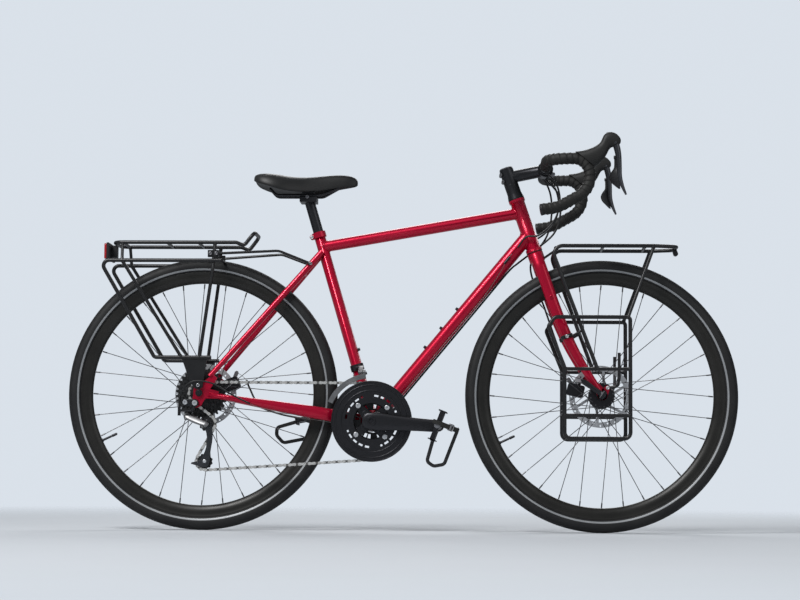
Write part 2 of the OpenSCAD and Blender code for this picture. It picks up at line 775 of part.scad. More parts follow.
// Fork: steerer, crown, two raked blades with tips, and a boss on each blade
crown_gap = 0.4;
crown_top = head_lo - head_dir * (cup_flange + crown_gap);
crown_h = 26;
shoulder_drop = 7;
shoulder_in = 12;
blade_y = 37;
fork_tip_t = 6;
tip_y = front_old / 2 + fork_tip_t / 2;
rake_from = 164;
blade_w = 10;
blade_deep = 15.5;
stem_h = 40;
steer_top = head_hi + head_dir * (stem_stack + stem_h / 2 - 3);
tray_eye = [12, 18];
boss_down = 128;
boss_thread_r = 2.5;
boss_len = 8;
function blade_axis(s) = steer_foot + head_dir * s;
blade_path = [
  blade_axis(fork_len - cup_flange - crown_gap - shoulder_drop) + [0, blade_y - shoulder_in, 0],
  blade_axis(fork_len - 50) + [0, blade_y, 0],
  blade_axis(fork_len - 140) + [0, blade_y + 4, 0],
  blade_axis(rake_from + 40) + [2, blade_y + 9, 0],
  lerp(blade_axis(rake_from), front_axle_at, 0.12) + [-1, blade_y + 12, 0],
  lerp(blade_axis(rake_from), front_axle_at, 0.5) + [0, tip_y - 1, 0],
  lerp(blade_axis(rake_from), front_axle_at, 0.88) + [0, tip_y, 0]];
blade_sizes = [[blade_w, blade_deep], [blade_w, blade_deep], [blade_w, blade_deep],
  [blade_w - 0.5, blade_deep - 0.5], [blade_w - 1, blade_deep - 1.5],
  [blade_w - 2, blade_deep - 4.5], [blade_w - 4, blade_deep - 7]];
boss_at = blade_axis(fork_len - boss_down);
module blade_solid() { loft(blade_path, blade_sizes, 20); }
module fork() {
  color(red) difference() {
    union() {
      rod(crown_top - head_dir * 2, steer_top, steerer_d);
      rod(crown_top - head_dir * crown_h, crown_top, head_rim_d - 1);
      both_sides() {
        blade_solid();
        rod(boss_at + [0, blade_y, 0], boss_at + [0, blade_y + blade_w + 5.5, 0], 9);
        across(front_axle_at, 13, front_old / 2, front_old / 2 + fork_tip_t);
        translate([front_axle_at.x, 0, front_axle_at.z]) plate(front_old / 2, front_old / 2 + fork_tip_t) {
          slot_shape([0, 0], [-13, 22], 9);
          slot_shape([0, 0], tray_eye, 7);
        }
      }
    }
    rod(crown_top - head_dir * 2, steer_top + head_dir, steerer_d - 4);
    both_sides() {
      across(front_axle_at, axle_r + run, 0, front_old);
      across(boss_at, boss_thread_r, blade_y + blade_w + 6 - boss_len, blade_y + blade_w + 8);
    }
    across(front_axle_at, tyre_r + 6, -tyre_w / 2 - 4, tyre_w / 2 + 4);
    both_sides() translate(front_axle_at + [-30, front_old / 2 - 20, -30]) cube([60, 20, 60]);
  }
}

// Cover, spacers and cap above the head tube
spacer_lo = head_hi + head_dir * (cup_flange + crown_gap);
stem_at = head_hi + head_dir * stem_stack;
stem_bot = stem_at - head_dir * stem_h / 2;
stem_top = stem_at + head_dir * stem_h / 2;
module headset_spacers() {
  color(black) {
    difference() {
      union() {
        rod(spacer_lo, spacer_lo + head_dir * 14, head_rim_d, steerer_d + 8);
        rod(spacer_lo + head_dir * 14, stem_bot, steerer_d + 8);
      }
      rod(spacer_lo - head_dir, stem_bot + head_dir, steerer_d);
    }
    rod(stem_top, stem_top + head_dir * 4, steerer_d + 6);
  }
}

// Stem with its face plate and bolts
stem_dir = [cos(stem_rise), 0, sin(stem_rise)];
bar_at = stem_at + stem_dir * stem_len;
stem_tube_d = 31;
stem_wall = 4;
face_w = 44;
module stem() {
  color(black) {
    difference() {
      union() {
        rod(stem_bot, stem_top, steerer_d + 2 * stem_wall);
        rod(stem_at, bar_at, stem_tube_d);
        across(bar_at, bar_clamp_d / 2 + 4, -face_w / 2, face_w / 2);
        for (s = [-1, 1]) across(stem_at - stem_dir * (steerer_d / 2 + 4) + head_dir * 9 * s, 4, -12, 12);
      }
      rod(stem_bot - head_dir, stem_top + head_dir, steerer_d);
      across(bar_at, bar_clamp_d / 2, -face_w, face_w);
    }
  }
}

// Handlebar: tops, ramp, hook and drop of one side, seen from the clamp
bar_half = bar_w / 2;
bar_side = [bar_at, bar_at + [0, bar_half, 0], bar_at + [bar_reach, bar_half, 2],
  bar_at + [bar_reach, bar_half + 2, -78], bar_at + [26, bar_half + 5, 6 - bar_drop],
  bar_at + [-15, bar_half + 6, -bar_drop]];
bar_bends = [45, 40, 56, 90];
tape_from = 62;
module handlebar() {
  left = [for (i = [1 : 5]) bar_side[i]];
  right = [for (q = left) mirror_y(q)];
  color(black) {
    bent_rod(concat(backwards(right), left), concat(backwards(bar_bends), bar_bends), bar_d);
    across(bar_at, bar_clamp_d / 2, -face_w / 2 - 12, face_w / 2 + 12);
  }
}
tape_end = unit(bar_side[5] - bar_side[4]);
module bar_tape() {
  outer = concat([lerp(bar_side[0], bar_side[1], tape_from / bar_half)], [for (i = [1 : 5]) bar_side[i]]);
  inner = concat([for (i = [0 : 4]) bar_side[i]], [bar_side[5] + tape_end * 2]);
  color("#2a2a28") both_sides() {
    difference() {
      bent_rod(outer, bar_bends, tape_d);
      bent_rod(inner, bar_bends, bar_d + 1.2);
    }
    rod(bar_side[5] + tape_end * 0.3, bar_side[5] + tape_end * 4, tape_d - 1);
  }
}

// Lever hoods: a bulged body in front of the hook with a pocket for the lever
hood_at = bar_at + [bar_reach, bar_half, 0];
hood_path = [for (p = [[-36, 0, 7], [-20, 0, 4], [0, 0, 2], [24, 0, 14], [42, 0, 30], [56, 0, 46],
  [60, 0, 60]]) hood_at + p];
hood_sizes = [[15.6, 15.6], [18, 18], [18, 22], [16.5, 22], [15.5, 20], [14, 17], [8, 9]];
lever_pivot = hood_at + [62, 0, 40];
lever_pin_r = 2.5;
lever_w = 20;
lever_pull = 22;
lever_head_r = 12;
module brake_hoods() {
  y1 = hood_at.y - lever_w / 2 - room;
  y2 = hood_at.y + lever_w / 2 + room;
  color(dark) both_sides() difference() {
    loft(hood_path, hood_sizes, 20);
    bent_rod(bar_side, bar_bends, tape_d + 0.6);
    across(lever_pivot, lever_head_r + room, y1, y2);
    translate([lever_pivot.x, 0, lever_pivot.z]) plate(y1, y2)
      polygon([[0, 0], [60, -20], [60, -120], [-70, -120], [-36, -30]]);
    across(lever_pivot, lever_pin_r + run, hood_at.y - 16, hood_at.y + 16);
  }
}

// Brake levers and the shift paddles behind them
blade_line = [for (p = [[3, 0, -4], [8, 0, -30], [12, 0, -66], [14, 0, -92], [22, 0, -116],
  [28, 0, -130]]) lever_pivot + p];
paddle_axis = lever_pivot + [-1, 0, -36];
module brake_lever() {
  color(dark) union() {
    across(lever_pivot, lever_head_r, hood_at.y - lever_w / 2, hood_at.y + lever_w / 2);
    across(lever_pivot, lever_pin_r, hood_at.y - 12, hood_at.y + 12);
    loft(blade_line, [[9, 6], [8, 4.5], [8, 4], [8, 4], [7, 3.5], [5, 2.5]], 16);
    rod(paddle_axis + [8, 0, 0], paddle_axis - [7, 0, 0], 4);
  }
}
module shift_paddle() {
  color(black) difference() {
    union() {
      rod(paddle_axis + [1, 0, 0], paddle_axis - [6, 0, 0], 9);
      loft([for (p = [[-3, 0, -3], [-2, -4, -22], [-1, -7, -36], [0, -7, -52], [3, -5, -66]])
        paddle_axis + p],
        [[3.5, 2.5], [4.5, 2.5], [9, 2.5], [9, 2.5], [4, 2]], 16);
    }
    rod(paddle_axis + [9, 0, 0], paddle_axis - [8, 0, 0], 4 + 2 * run);
  }
}
module right_side() { mirror([0, 1, 0]) children(); }
module left_brake_lever() { brake_lever(); }
module right_brake_lever() { right_side() brake_lever(); }
module left_shift_paddle() { shift_paddle(); }
module right_shift_paddle() { right_side() shift_paddle(); }

// Front rack: platform rails that bend down into struts, pannier frames and mount rods
module front_rack_half() {
  a = front_axle_at;
  h = tray_h;
  w = tray_half;
  y = pannier_y;
  frame = [for (p = [[-97, y, 69], [-97, y, -110], [68, y, -110], [68, y, 196], [-122, y, 196],
    [-138, y, 172]]) a + p];
  bent_loop(frame, [40, 16, 16, 8, 14, 10], rack_d);
  for (z = [65, -52]) rod(a + [-97, y, z], a + [68, y, z], rack_d - 1);
  rod(a + [131, w, h], a + [62, y, 194], rack_d - 1);
  mount = [for (p = [[12, tip_y + 16, 18], [38, tip_y + 20, 22], [40, y, 44], [40, y, 106]]) a + p];
  bent_rod(mount, [12, 10], rack_d - 2, [0, 1, 0]);
  across(a + [tray_eye.x, 0, tray_eye.y], 7, front_old / 2 + fork_tip_t, tip_y + 16);
}
module front_rack() {
  a = front_axle_at;
  rail = [for (p = [[190, tray_half - 20, tray_h], [132, tray_half, tray_h], [-132, tray_half, tray_h],
    [-14, pannier_y, 63]]) a + p];
  color(black) {
    bent_rod(concat(backwards([for (p = rail) mirror_y(p)]), rail), [22, 30, 18, 18, 30, 22], rack_d);
    both_sides() front_rack_half();
    for (x = [3, 110]) rod(a + [x, -tray_half, tray_h], a + [x, tray_half, tray_h], rack_d - 2);
    rod(a + [-118, -tray_half, tray_h - 6], a + [-118, tray_half, tray_h - 6], rack_d - 2);
    difference() {
      translate([a.x, 0, a.z]) plate(-9, 9) slot_shape([-150, tray_h - 28], [-118, tray_h - 6], 2.5);
      rod(crown_top - head_dir * 60, crown_top, head_rim_d - 1);
    }
  }
}

// Wheels: tyre, rim, laced spokes, hub shell and brake rotor
tyre_wall = 2.5;
rim_wall = 2.2;
flange_r = 32.5;
flange_t = 3;
spoke_circle_r = 29;
spoke_gap = 0.1;
spoke_lift = 1.4;
nipple_d = 3.6;
nipple_len = 12;
spoke_bend_r = 1.15;
rim_in_r = rim_r - rim_depth;
rim_crest = 10;
module tyre(c) {
  color("#242321") turned(c, 180) difference() {
    translate([tyre_r - tyre_w / 2, 0]) circle(tyre_w / 2);
    translate([tyre_r - tyre_w / 2, 0]) circle(tyre_w / 2 - tyre_wall);
    translate([tyre_r - 2 * tyre_w, -tyre_w]) square([rim_r - tyre_r + 2 * tyre_w, 2 * tyre_w]);
  }
}
module rim_outline(wall) {
  w = rim_w / 2 - wall;
  polygon([[rim_in_r + wall, -rim_crest / 2 + wall / 2], [rim_r - 18, -w], [rim_r - wall, -w],
    [rim_r - wall, w], [rim_r - 18, w], [rim_in_r + wall, rim_crest / 2 - wall / 2]]);
}
module rim(c) {
  color("#3a3733") turned(c, 180) difference() {
    rim_outline(0);
    rim_outline(rim_wall);
  }
}
module spoke(c, f, k) {
  way = k % 2 == 0 ? 1 : -1;
  at = k * 720 / spokes + (f > 0 ? 0 : 360 / spokes);
  y = f + way * (flange_t / 2 + spoke_d / 2 + (f * way > 0 ? spoke_lift : spoke_gap));
  p = wheel_point(c, spoke_circle_r, at, y);
  q = wheel_point(c, rim_in_r - 0.5, at + way * 3 * 720 / spokes, f > 0 ? 1.5 : -1.5);
  far = f - way * (flange_t / 2 + spoke_gap);
  union() {
    rod(p, q, spoke_d);
    rod(q - unit(q - p) * nipple_len, q, nipple_d);
    across(p, spoke_bend_r, min(y, far - way), max(y, far - way));
    across(p, spoke_bend_r + 1, min(far, far - way), max(far, far - way));
  }
}
module wheel_spokes(c, flanges) {
  color("#4a4a4c") for (f = flanges) for (k = [0 : spokes / 2 - 1]) spoke(c, f, k);
}
hub_core_r = 13;
rotor_seat_r = 21;
rotor_bore_r = 15;
module hub_shell(c, y1, y2, flanges, rotor_y) {
  seat = rotor_y - rotor_t / 2;
  color(dark) difference() {
    union() {
      across(c, hub_core_r, y1, y2);
      for (f = flanges) across(c, flange_r, f - flange_t / 2, f + flange_t / 2);
      across(c, rotor_seat_r, max(flanges), seat);
      across(c, rotor_bore_r, seat, y2 - 2);
    }
    across(c, axle_r + run, y1 - 1, y2 + 1);
    for (f = flanges) for (k = [0 : spokes / 2 - 1])
      across(wheel_point(c, spoke_circle_r, k * 720 / spokes + (f > 0 ? 0 : 360 / spokes), 0),
        spoke_bend_r + 0.1, f - flange_t, f + flange_t);
  }
}
module rotor(c, y) {
  color(steel) {
    translate([c.x, 0, c.z]) plate(y - rotor_t / 2, y + rotor_t / 2) difference() {
      union() {
        difference() {
          circle(rotor_r);
          circle(rotor_r - 14);
        }
        circle(26);
        for (i = [0 : 5]) rotate(60 * i) slot_shape([20, 0], on_circle([0, 0], rotor_r - 10, 24), 3.5);
      }
      circle(rotor_bore_r);
      for (i = [0 : 23]) rotate(15 * i) translate([rotor_r - (i % 2 == 0 ? 5 : 9), 0]) circle(2.2);
    }
    for (i = [0 : 5])
      across(wheel_point(c, rotor_seat_r, 60 * i + 30, 0), 3.5, y + rotor_t / 2, y + rotor_t / 2 + 2.5);
  }
}
front_flanges = [-29, 22];
rear_flanges = [-20, 32];
cassette_in = -(cassette_out - 1.5 - (len(cog_teeth) - 1) * cog_step) + cog_t / 2;
module front_tyre() { tyre(front_axle_at); }
module rear_tyre() { tyre(rear_axle_at); }
module front_rim() { rim(front_axle_at); }
module rear_rim() { rim(rear_axle_at); }
module front_spokes() { wheel_spokes(front_axle_at, front_flanges); }
module rear_spokes() { wheel_spokes(rear_axle_at, rear_flanges); }
module front_hub() {
  hub_shell(front_axle_at, -front_hub_half, front_hub_half, front_flanges, front_rotor_y);
}
module rear_hub() {
  hub_shell(rear_axle_at, cassette_in + hub_gap, rear_hub_left, rear_flanges, rear_rotor_y);
}
module front_rotor() { rotor(front_axle_at, front_rotor_y); }
module rear_rotor() { rotor(rear_axle_at, rear_rotor_y); }

// Pedals, drawn for the left side around their own spindle
pedal_in = crank_in + crank_t + 7;
pedal_w = 88;
pedal_half = 39;
pedal_h = 22;
pedal_pin_r = 5;
clip_w = 18;
clip_t = 3.8;
clip_seat = 0.5;
right_pedal_tilt = 111;
left_pedal_tilt = 169;
strap_x = -12;
clip_top = 50;
clip_toe = 98;
// Bent strip of even thickness along a line in a plane
function strip_side(line, i) =
  let (a = unit(line[max(i, 1)] - line[max(i - 1, 0)]), last = len(line) - 1,
    b = unit(line[min(i + 1, last)] - line[min(i, last - 1)]), n = unit([-a.y - b.y, a.x + b.x]))
  n / (n * [-a.y, a.x]);
module strip(line, half) {
  last = len(line) - 1;
  polygon(concat([for (i = [0 : last]) line[i] + half * strip_side(line, i)],
    [for (i = [last : -1 : 0]) line[i] - half * strip_side(line, i)]));
}
module pedal_parts() {
  mid = pedal_in + pedal_w / 2;
  color(black) {
    difference() {
      union() {
        translate([-pedal_half, pedal_in, -pedal_h / 2]) difference() {
          cube([2 * pedal_half, pedal_w, pedal_h]);
          translate([3, 3, -1]) cube([2 * pedal_half - 6, pedal_w - 6, pedal_h + 2]);
        }
        across([0, 0, 0], 9, pedal_in, pedal_in + pedal_w);
        translate([-pedal_half, mid - 12, -6]) cube([2 * pedal_half, 24, 12]);
      }
      across([0, 0, 0], pedal_pin_r + run, pedal_in - 1, pedal_in + pedal_w + 1);
    }
    line = [[pedal_half + clip_seat, 3], [clip_toe - 3, 9], [clip_toe, 26], [clip_toe - 13, clip_top],
      [4, clip_top]];
    plate(mid - clip_w / 2, mid + clip_w / 2) strip(line, clip_t / 2);
    translate([strap_x, mid, 0]) rotate([90, 0, 90]) linear_extrude(11) difference() {
      rounded_square(2 * 45, 2 * (clip_top + 4), 14);
      rounded_square(2 * 43, 2 * (clip_top + 2), 12);
      translate([-60, -120]) square([120, 120 + pedal_h / 2]);
    }
    translate([strap_x - 3, mid + 42, clip_top - 24]) cube([17, 7, 12]);
  }
}
module right_pedal() {
  translate([pedal_right_at.x, 0, pedal_right_at.z]) rotate([0, right_pedal_tilt, 0])
    right_side() pedal_parts();
}
module left_pedal() {
  translate([pedal_left_at.x, 0, pedal_left_at.z]) rotate([0, left_pedal_tilt, 0]) pedal_parts();
}
module pedal_spindle(c) {
  out = crank_in + crank_t;
  across(c, pedal_axle_r, crank_in, out + 5);
  across(c, pedal_pin_r, out, pedal_in + pedal_w - 2);
}

// Seat post with its clamp, saddle rails and saddle
post_in = 150;
seat_head = seat_top + seat_dir * post_out;
rail_d = 7;
rail_y = 22;
rail_up = 8;
module seatpost() {
  c = seat_head;
  color(black) {
    union() {
      rod(seat_top - seat_dir * post_in, c - seat_dir * 4, post_d);
      translate(c + [-22, -28, -10]) cube([44, 56, rail_up + 10 - rail_d / 2 - 0.1]);
    }
    translate(c + [-16, -28, rail_up + rail_d / 2 + 0.1]) cube([32, 56, 6]);
  }
}
module saddle_rails() {
  c = seat_head;
  rail = [for (p = [[-100, 20, 26.4], [-84, rail_y, rail_up], [36, rail_y, rail_up], [78, 9, 29.5]]) c + p];
  color(steel) both_sides() bent_rod(rail, [18, 24], rail_d);
}
// Stations of the saddle: place from the clamp, height of its middle, half width, half height
saddle_rear = -141;
saddle_stations = [[0, 47, 0.28, 6], [0.03, 46, 0.41, 10], [0.1, 45, 0.49, 14], [0.24, 42, 0.5, 16],
  [0.4, 39, 0.4, 15], [0.55, 39, 0.27, 14], [0.7, 43, 0.18, 13], [0.86, 46, 0.135, 12.5],
  [0.96, 43, 0.1, 10.5], [1, 41, 0.05, 5.5]];
module saddle() {
  color(black) loft([for (s = saddle_stations) seat_head + [saddle_rear + s[0] * saddle_len, 0, s[1]]],
    [for (s = saddle_stations) [s[2] * saddle_w, s[3]]], 24);
}

// Slab across the length of the bicycle from x1 to x2, drawn with Y and Z
module slab(x1, x2) {
  translate([x1, 0, 0]) rotate([90, 0, 90]) linear_extrude(x2 - x1) children();
}
function side_view(p) = [p.y, p.z];

// Front derailleur: band clamp, one swinging link and the cage
shift_band_at = bb_at + seat_dir * 145;
shift_band_h = 16;
shift_pin_r = 2.5;
link_from = shift_band_at + [8, -24, -2];
link_to = link_from + [0, -20, -12];
link_half = 5.5;
cage_in_y = chain_y + 7;
cage_out_y = chain_y - 9;
cage_t = 1.2;
cage_r1 = 110;
cage_r2 = 122;
// Bar with round ends as one outline
module round_bar(p, q, r) {
  a = atan2(q.y - p.y, q.x - p.x);
  polygon([for (i = [0 : 25]) on_circle(i < 13 ? q : p, r, a - 90 + 15 * (i < 13 ? i : i - 1))]);
}
module front_derailleur_clamp() {
  h = seat_dir * shift_band_h / 2;
  color(dark) difference() {
    union() {
      rod(shift_band_at - h, shift_band_at + h, seat_tube_d + 6);
      slab(link_from.x - 10, link_from.x - 3) slot_shape([-12, shift_band_at.z], side_view(link_from), 6);
      rod(link_from - [4, 0, 0], link_from + [9, 0, 0], 2 * shift_pin_r);
    }
    seat_tube_solid();
  }
}
module front_derailleur_link() {
  color(steel) {
    difference() {
      slab(link_from.x - 2.7, link_from.x + 8.7)
        round_bar(side_view(link_from), side_view(link_to), link_half);
      rod(link_from - [5, 0, 0], link_from + [10, 0, 0], 2 * (shift_pin_r + run));
    }
    rod(link_to + [8.7, 0, 0], link_to + [16.3, 0, 0], 2 * shift_pin_r);
  }
}
module cage_band(a1, a2, r1, r2) {
  n = 12;
  polygon(concat([for (i = [0 : n]) on_circle(flat(bb_at), r2, lerp(a1, a2, i / n))],
    [for (i = [n : -1 : 0]) on_circle(flat(bb_at), r1, lerp(a1, a2, i / n))]));
}
module front_derailleur_cage() {
  color(steel) difference() {
    union() {
      plate(cage_in_y, cage_in_y + cage_t) cage_band(98, 156, cage_r1, cage_r2);
      plate(cage_out_y - cage_t, cage_out_y) cage_band(98, 156, cage_r1, cage_r2);
      plate(cage_out_y, cage_in_y) cage_band(98, 103, cage_r2 - 3, cage_r2);
      across(wheel_point(bb_at, cage_r1 + 6, 153.5, 0), 2.5, cage_out_y, cage_in_y);
      slab(link_to.x + 9.3, link_to.x + 16) translate(side_view(link_to)) circle(6.5);
    }
    rod(link_to, link_to + [20, 0, 0], 2 * (shift_pin_r + run));
  }
}

// Rear derailleur: knuckle on the hanger, slanted link, cage knuckle, cage and two pulleys
slant = unit([0.477, 0.5, 0.723]);
swing = [45, -14, -20];
cage_pivot = [guide_at.x, chain_y - 28.7, guide_at.z];
swing_from = cage_pivot - swing;
swing_pin_d = 5;
swing_half = 5;
jockey_t = 2;
cage_gap = 5.2;
cage_arm_r = 13;
module swing_eye(p, d) { rod(p - slant * swing_half, p + slant * swing_half, d); }
module swing_pin(p) {
  rod(p - slant * (swing_half + 0.5), p + slant * (swing_half + 1), swing_pin_d);
  rod(p + slant * (swing_half + 0.5), p + slant * (swing_half + 5.5), 10);
}
module derailleur_knuckle() {
  a = rear_axle_at;
  h = a + [hanger_at.x, 0, hanger_at.y];
  y = drop_y + drop_t;
  bend = a + [-16, -y - 5, -46];
  color(dark) union() {
    across(h, hanger_r, -y, -drop_y);
    across(h, 9, -y - 14, -y);
    rod([h.x, -y - 9, h.z], bend, 9);
    rod(bend, swing_from + slant * (swing_half + 5), 8);
    rod(bend, a + [-47, -y - 6.5, -45], 6);
    rod(a + [-49, -y - 6.5, -36], a + [-49, -y - 6.5, -58], 8);
    swing_pin(swing_from);
  }
}
module derailleur_link() {
  color(steel) difference() {
    union() {
      swing_eye(swing_from, 10);
      swing_eye(cage_pivot, 10);
      rod(swing_from, cage_pivot, 8);
    }
    for (p = [swing_from, cage_pivot]) rod(p - slant * 20, p + slant * 20, swing_pin_d + 2 * run);
  }
}
module cage_knuckle() {
  y = cage_pivot.y;
  color(dark) difference() {
    union() {
      swing_pin(cage_pivot);
      across(guide_at, 9, y + 8, y + 20);
      rod(cage_pivot + slant * (swing_half + 4.2), [guide_at.x + 2, y + 13, guide_at.z + 3], 7);
    }
    across(guide_at, 5 + run, y + 7.5, y + 21);
  }
}
module derailleur_cage() {
  color(dark) union() {
    for (y = [chain_y - cage_gap - cage_t, chain_y + cage_gap])
      plate(y, y + cage_t) slot_shape(flat(guide_at), flat(tension_at), cage_arm_r);
    across(guide_at, 5, cage_pivot.y + 9, chain_y - cage_gap);
    for (p = [guide_at, tension_at]) across(p, 2.5, chain_y - cage_gap - cage_t, chain_y + cage_gap + cage_t);
  }
}
module pulley(c) {
  color(black) translate([c.x, 0, c.z]) plate(chain_y - jockey_t / 2, chain_y + jockey_t / 2)
    toothed(pulley_teeth, chain_tip(pulley_teeth), 2.5 + run);
}
module guide_pulley() { pulley(guide_at); }
module tension_pulley() { pulley(tension_at); }

// Cam lever of the front axle, on the pin between the two ears of the axle
cam_at = front_axle_at + [0, -front_old / 2 - fork_tip_t - nut_h - 7, 0];
cam_axis = [0.576, 0, 0.818];
cam_dir = [-0.818, 0, 0.576];
cam_pin_d = 5;
cam_half = 7;
cam_lever_len = 64;
module cam_ears() {
  for (s = [-1, 1]) {
    rod(cam_at + cam_axis * s * (cam_half + 0.4), cam_at + cam_axis * s * (cam_half + 3.4), 12);
    rod(cam_at + cam_axis * s * (cam_half + 3.4), cam_at + cam_axis * s * (cam_half + 3.4) + [0, 9, 0], 6);
  }
  rod(cam_at - cam_axis * (cam_half + 3.4), cam_at + cam_axis * (cam_half + 3.4), cam_pin_d);
}
module front_axle_lever() {
  color(dark) difference() {
    union() {
      rod(cam_at - cam_axis * cam_half, cam_at + cam_axis * cam_half, 12);
      loft([for (t = [0, 12, 30, 50, cam_lever_len]) cam_at + cam_dir * t + [0, -t * 0.02, 0]],
        [[4, 6.5], [4, 6.5], [3, 6], [3, 7.5], [2, 5]], 16);
    }
    rod(cam_at - cam_axis * 20, cam_at + cam_axis * 20, cam_pin_d + 2 * run);
  }
}

// Cables: a smooth curve through the points of each route, swept as one tube
function curve_at(p, i, t) =
  let (a = p[max(i - 1, 0)], b = p[i], c = p[i + 1], d = p[min(i + 2, len(p) - 1)])
  0.5 * (2 * b + (c - a) * t + (2 * a - 5 * b + 4 * c - d) * t * t + (3 * b - a - 3 * c + d) * t * t * t);
function curve(p, m = 3) = concat([for (i = [0 : len(p) - 2]) for (j = [0 : m - 1]) curve_at(p, i, j / m)],
  [p[len(p) - 1]]);
module cord(points, d) {
  path = curve(points);
  loft(path, [for (q = path) [d / 2, d / 2]], 8);
}
housing_d = 5;
wire_d = 3;
adjuster_y = down_tube_d / 2 + adjuster_d / 2;
function down_point(s, side, under) = bb_at + down_dir * s - down_up * under + [0, side, 0];
function stay_point(t, out, up) = lerp(chain_stay_front, chain_stay_rear, t) + [0, out, up];
// Housings from the bar to the adjusters, drawn for the left side
shift_loop = concat([for (p = [[-2, 59, -15.5], [12, 46, -22], [30, 40, -48], [36, 39, -90], [22, 38, -135],
  [-16, 34, -172]]) bar_at + p], [down_point(adjuster_at + 56, adjuster_y + 5, 0),
  down_point(adjuster_at + 22.5, adjuster_y, 0)]);
brake_loop = concat([for (p = [[-4, 44, -15.5], [10, 34, -26], [36, 27, -62], [40, 27, -110], [24, 29, -160],
  [-20, 30, -200], [-68, 21, -238]]) bar_at + p],
  [for (s = [520, 420, 250, 90]) down_point(s, 0, down_tube_d / 2 + 2.9)],
  [down_point(32, 3, 22), bb_at + [16, 7, -30], stay_point(0.2, 0, -22), stay_point(0.45, 0, -20),
    stay_point(0.6, 6, -16.5), stay_point(0.72, 13.5, -4)],
  [rear_axle_at + [112, 74, 18], rear_axle_at + [88, 67.4, 62]]);
wire_start = [for (s = [adjuster_at - 0.5, 300, 110]) down_point(s, adjuster_y, 0)];
gear_wire = concat(wire_start,
  [down_point(66, 19, 12), bb_at + [27, 16, -6], bb_at + [-2, 13, -24], stay_point(0.2, 0, -18.6),
    stay_point(0.45, 0, -18.6), stay_point(0.62, 0, -16), stay_point(0.74, 12, -6)],
  [for (p = [[80, 84, -2], [34, 92, 24], [-14, 94, 28], [-42, 88, 4], [-49, 80.5, -20],
    [-49, 80, -35.4]]) rear_axle_at + p]);
mech_wire = concat(wire_start,
  [down_point(66, 18, 12), bb_at + [27, 10, -6], bb_at + [3, 3, -24], bb_at + [-22, -2, -20],
    bb_at + [-32, -4, 12], bb_at + seat_dir * 60 - seat_fwd * 18 + [0, -5, 0],
    bb_at + seat_dir * 130 - seat_fwd * 15 + [0, -9.5, 0]]);
module frame_cables() {
  color(black) {
    both_sides() cord(shift_loop, housing_d);
    cord(brake_loop, housing_d);
    mirror([0, 1, 0]) cord(gear_wire, wire_d);
    cord(mech_wire, wire_d);
  }
}
module front_brake_cable() {
  top = [for (p = [[-6, 50, -15.5], [4, 50, -26], [16, 50, -60], [18, 50, -110], [6, 49, -165]]) bar_at + p];
  blade = [for (p = [[fork_len - 30, 44], [fork_len - 140, 46], [rake_from + 30, 51]])
    blade_axis(p[0]) + [0, p[1], 0] - head_fwd * 20];
  end = [for (p = [[-100, 54.9, 104], [-85, 54.9, 60]]) front_axle_at + p];
  color(black) cord(concat(top, blade, end), housing_d);
}

head_tube();
top_tube();
down_tube();
seat_tube();
chain_stays();
seat_stays();
rear_dropouts();
seat_collar();
bearing_cups();
frame_bolts();
front_derailleur_clamp();
rear_rack();
rear_axle();
rear_caliper();
chain();
frame_cables();
fork();
headset_spacers();
stem();
handlebar();
bar_tape();
brake_hoods();
front_rack();
front_axle();
front_caliper();
front_brake_cable();
front_tyre();
front_rim();
front_spokes();
front_hub();
front_rotor();
rear_tyre();
rear_rim();
rear_spokes();
rear_hub();
rear_rotor();
cassette();
crank_arms();
chainrings();
chain_guard();
right_pedal();
left_pedal();
right_brake_lever();
left_brake_lever();
right_shift_paddle();
left_shift_paddle();
seatpost();
saddle_rails();
saddle();
front_derailleur_link();
front_derailleur_cage();
derailleur_knuckle();
derailleur_link();
cage_knuckle();
derailleur_cage();
guide_pulley();
tension_pulley();
front_axle_lever();
front_caliper_arm();
rear_caliper_arm();
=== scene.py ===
"""Looks of a steel touring bicycle with racks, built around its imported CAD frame.

Lengths are millimetres in the frame of the CAD model, and every mesh is made in metres.
"""

import json
import logging
import math
from collections.abc import Callable, Iterable, Sequence
from dataclasses import dataclass
from enum import Enum

import bmesh
import bpy
from mathutils import Matrix, Vector

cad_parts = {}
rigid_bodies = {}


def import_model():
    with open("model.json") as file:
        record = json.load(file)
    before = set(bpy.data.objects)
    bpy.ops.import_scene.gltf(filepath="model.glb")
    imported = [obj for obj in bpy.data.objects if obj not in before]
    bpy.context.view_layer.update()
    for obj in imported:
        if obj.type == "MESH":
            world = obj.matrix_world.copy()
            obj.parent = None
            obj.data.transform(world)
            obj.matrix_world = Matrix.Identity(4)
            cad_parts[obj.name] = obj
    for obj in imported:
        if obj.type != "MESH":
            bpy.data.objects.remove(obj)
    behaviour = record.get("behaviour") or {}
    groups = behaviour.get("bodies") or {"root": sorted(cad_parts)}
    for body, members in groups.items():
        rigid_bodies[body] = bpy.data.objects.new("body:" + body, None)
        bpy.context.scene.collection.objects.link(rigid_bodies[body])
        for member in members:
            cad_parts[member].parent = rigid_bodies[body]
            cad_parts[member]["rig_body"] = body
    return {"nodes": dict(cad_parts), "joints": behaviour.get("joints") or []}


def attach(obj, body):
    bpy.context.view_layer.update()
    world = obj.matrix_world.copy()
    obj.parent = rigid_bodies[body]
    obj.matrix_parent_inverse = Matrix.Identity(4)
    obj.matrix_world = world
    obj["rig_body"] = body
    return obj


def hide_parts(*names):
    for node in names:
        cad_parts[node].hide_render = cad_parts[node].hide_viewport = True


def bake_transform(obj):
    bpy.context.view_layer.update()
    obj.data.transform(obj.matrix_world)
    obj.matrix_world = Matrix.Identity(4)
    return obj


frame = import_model()
LOG = logging.getLogger("bicycle")
Points = list[Vector]
Pair = tuple[float, float]
Triple = tuple[float, float, float]
Mesh = bpy.types.Mesh
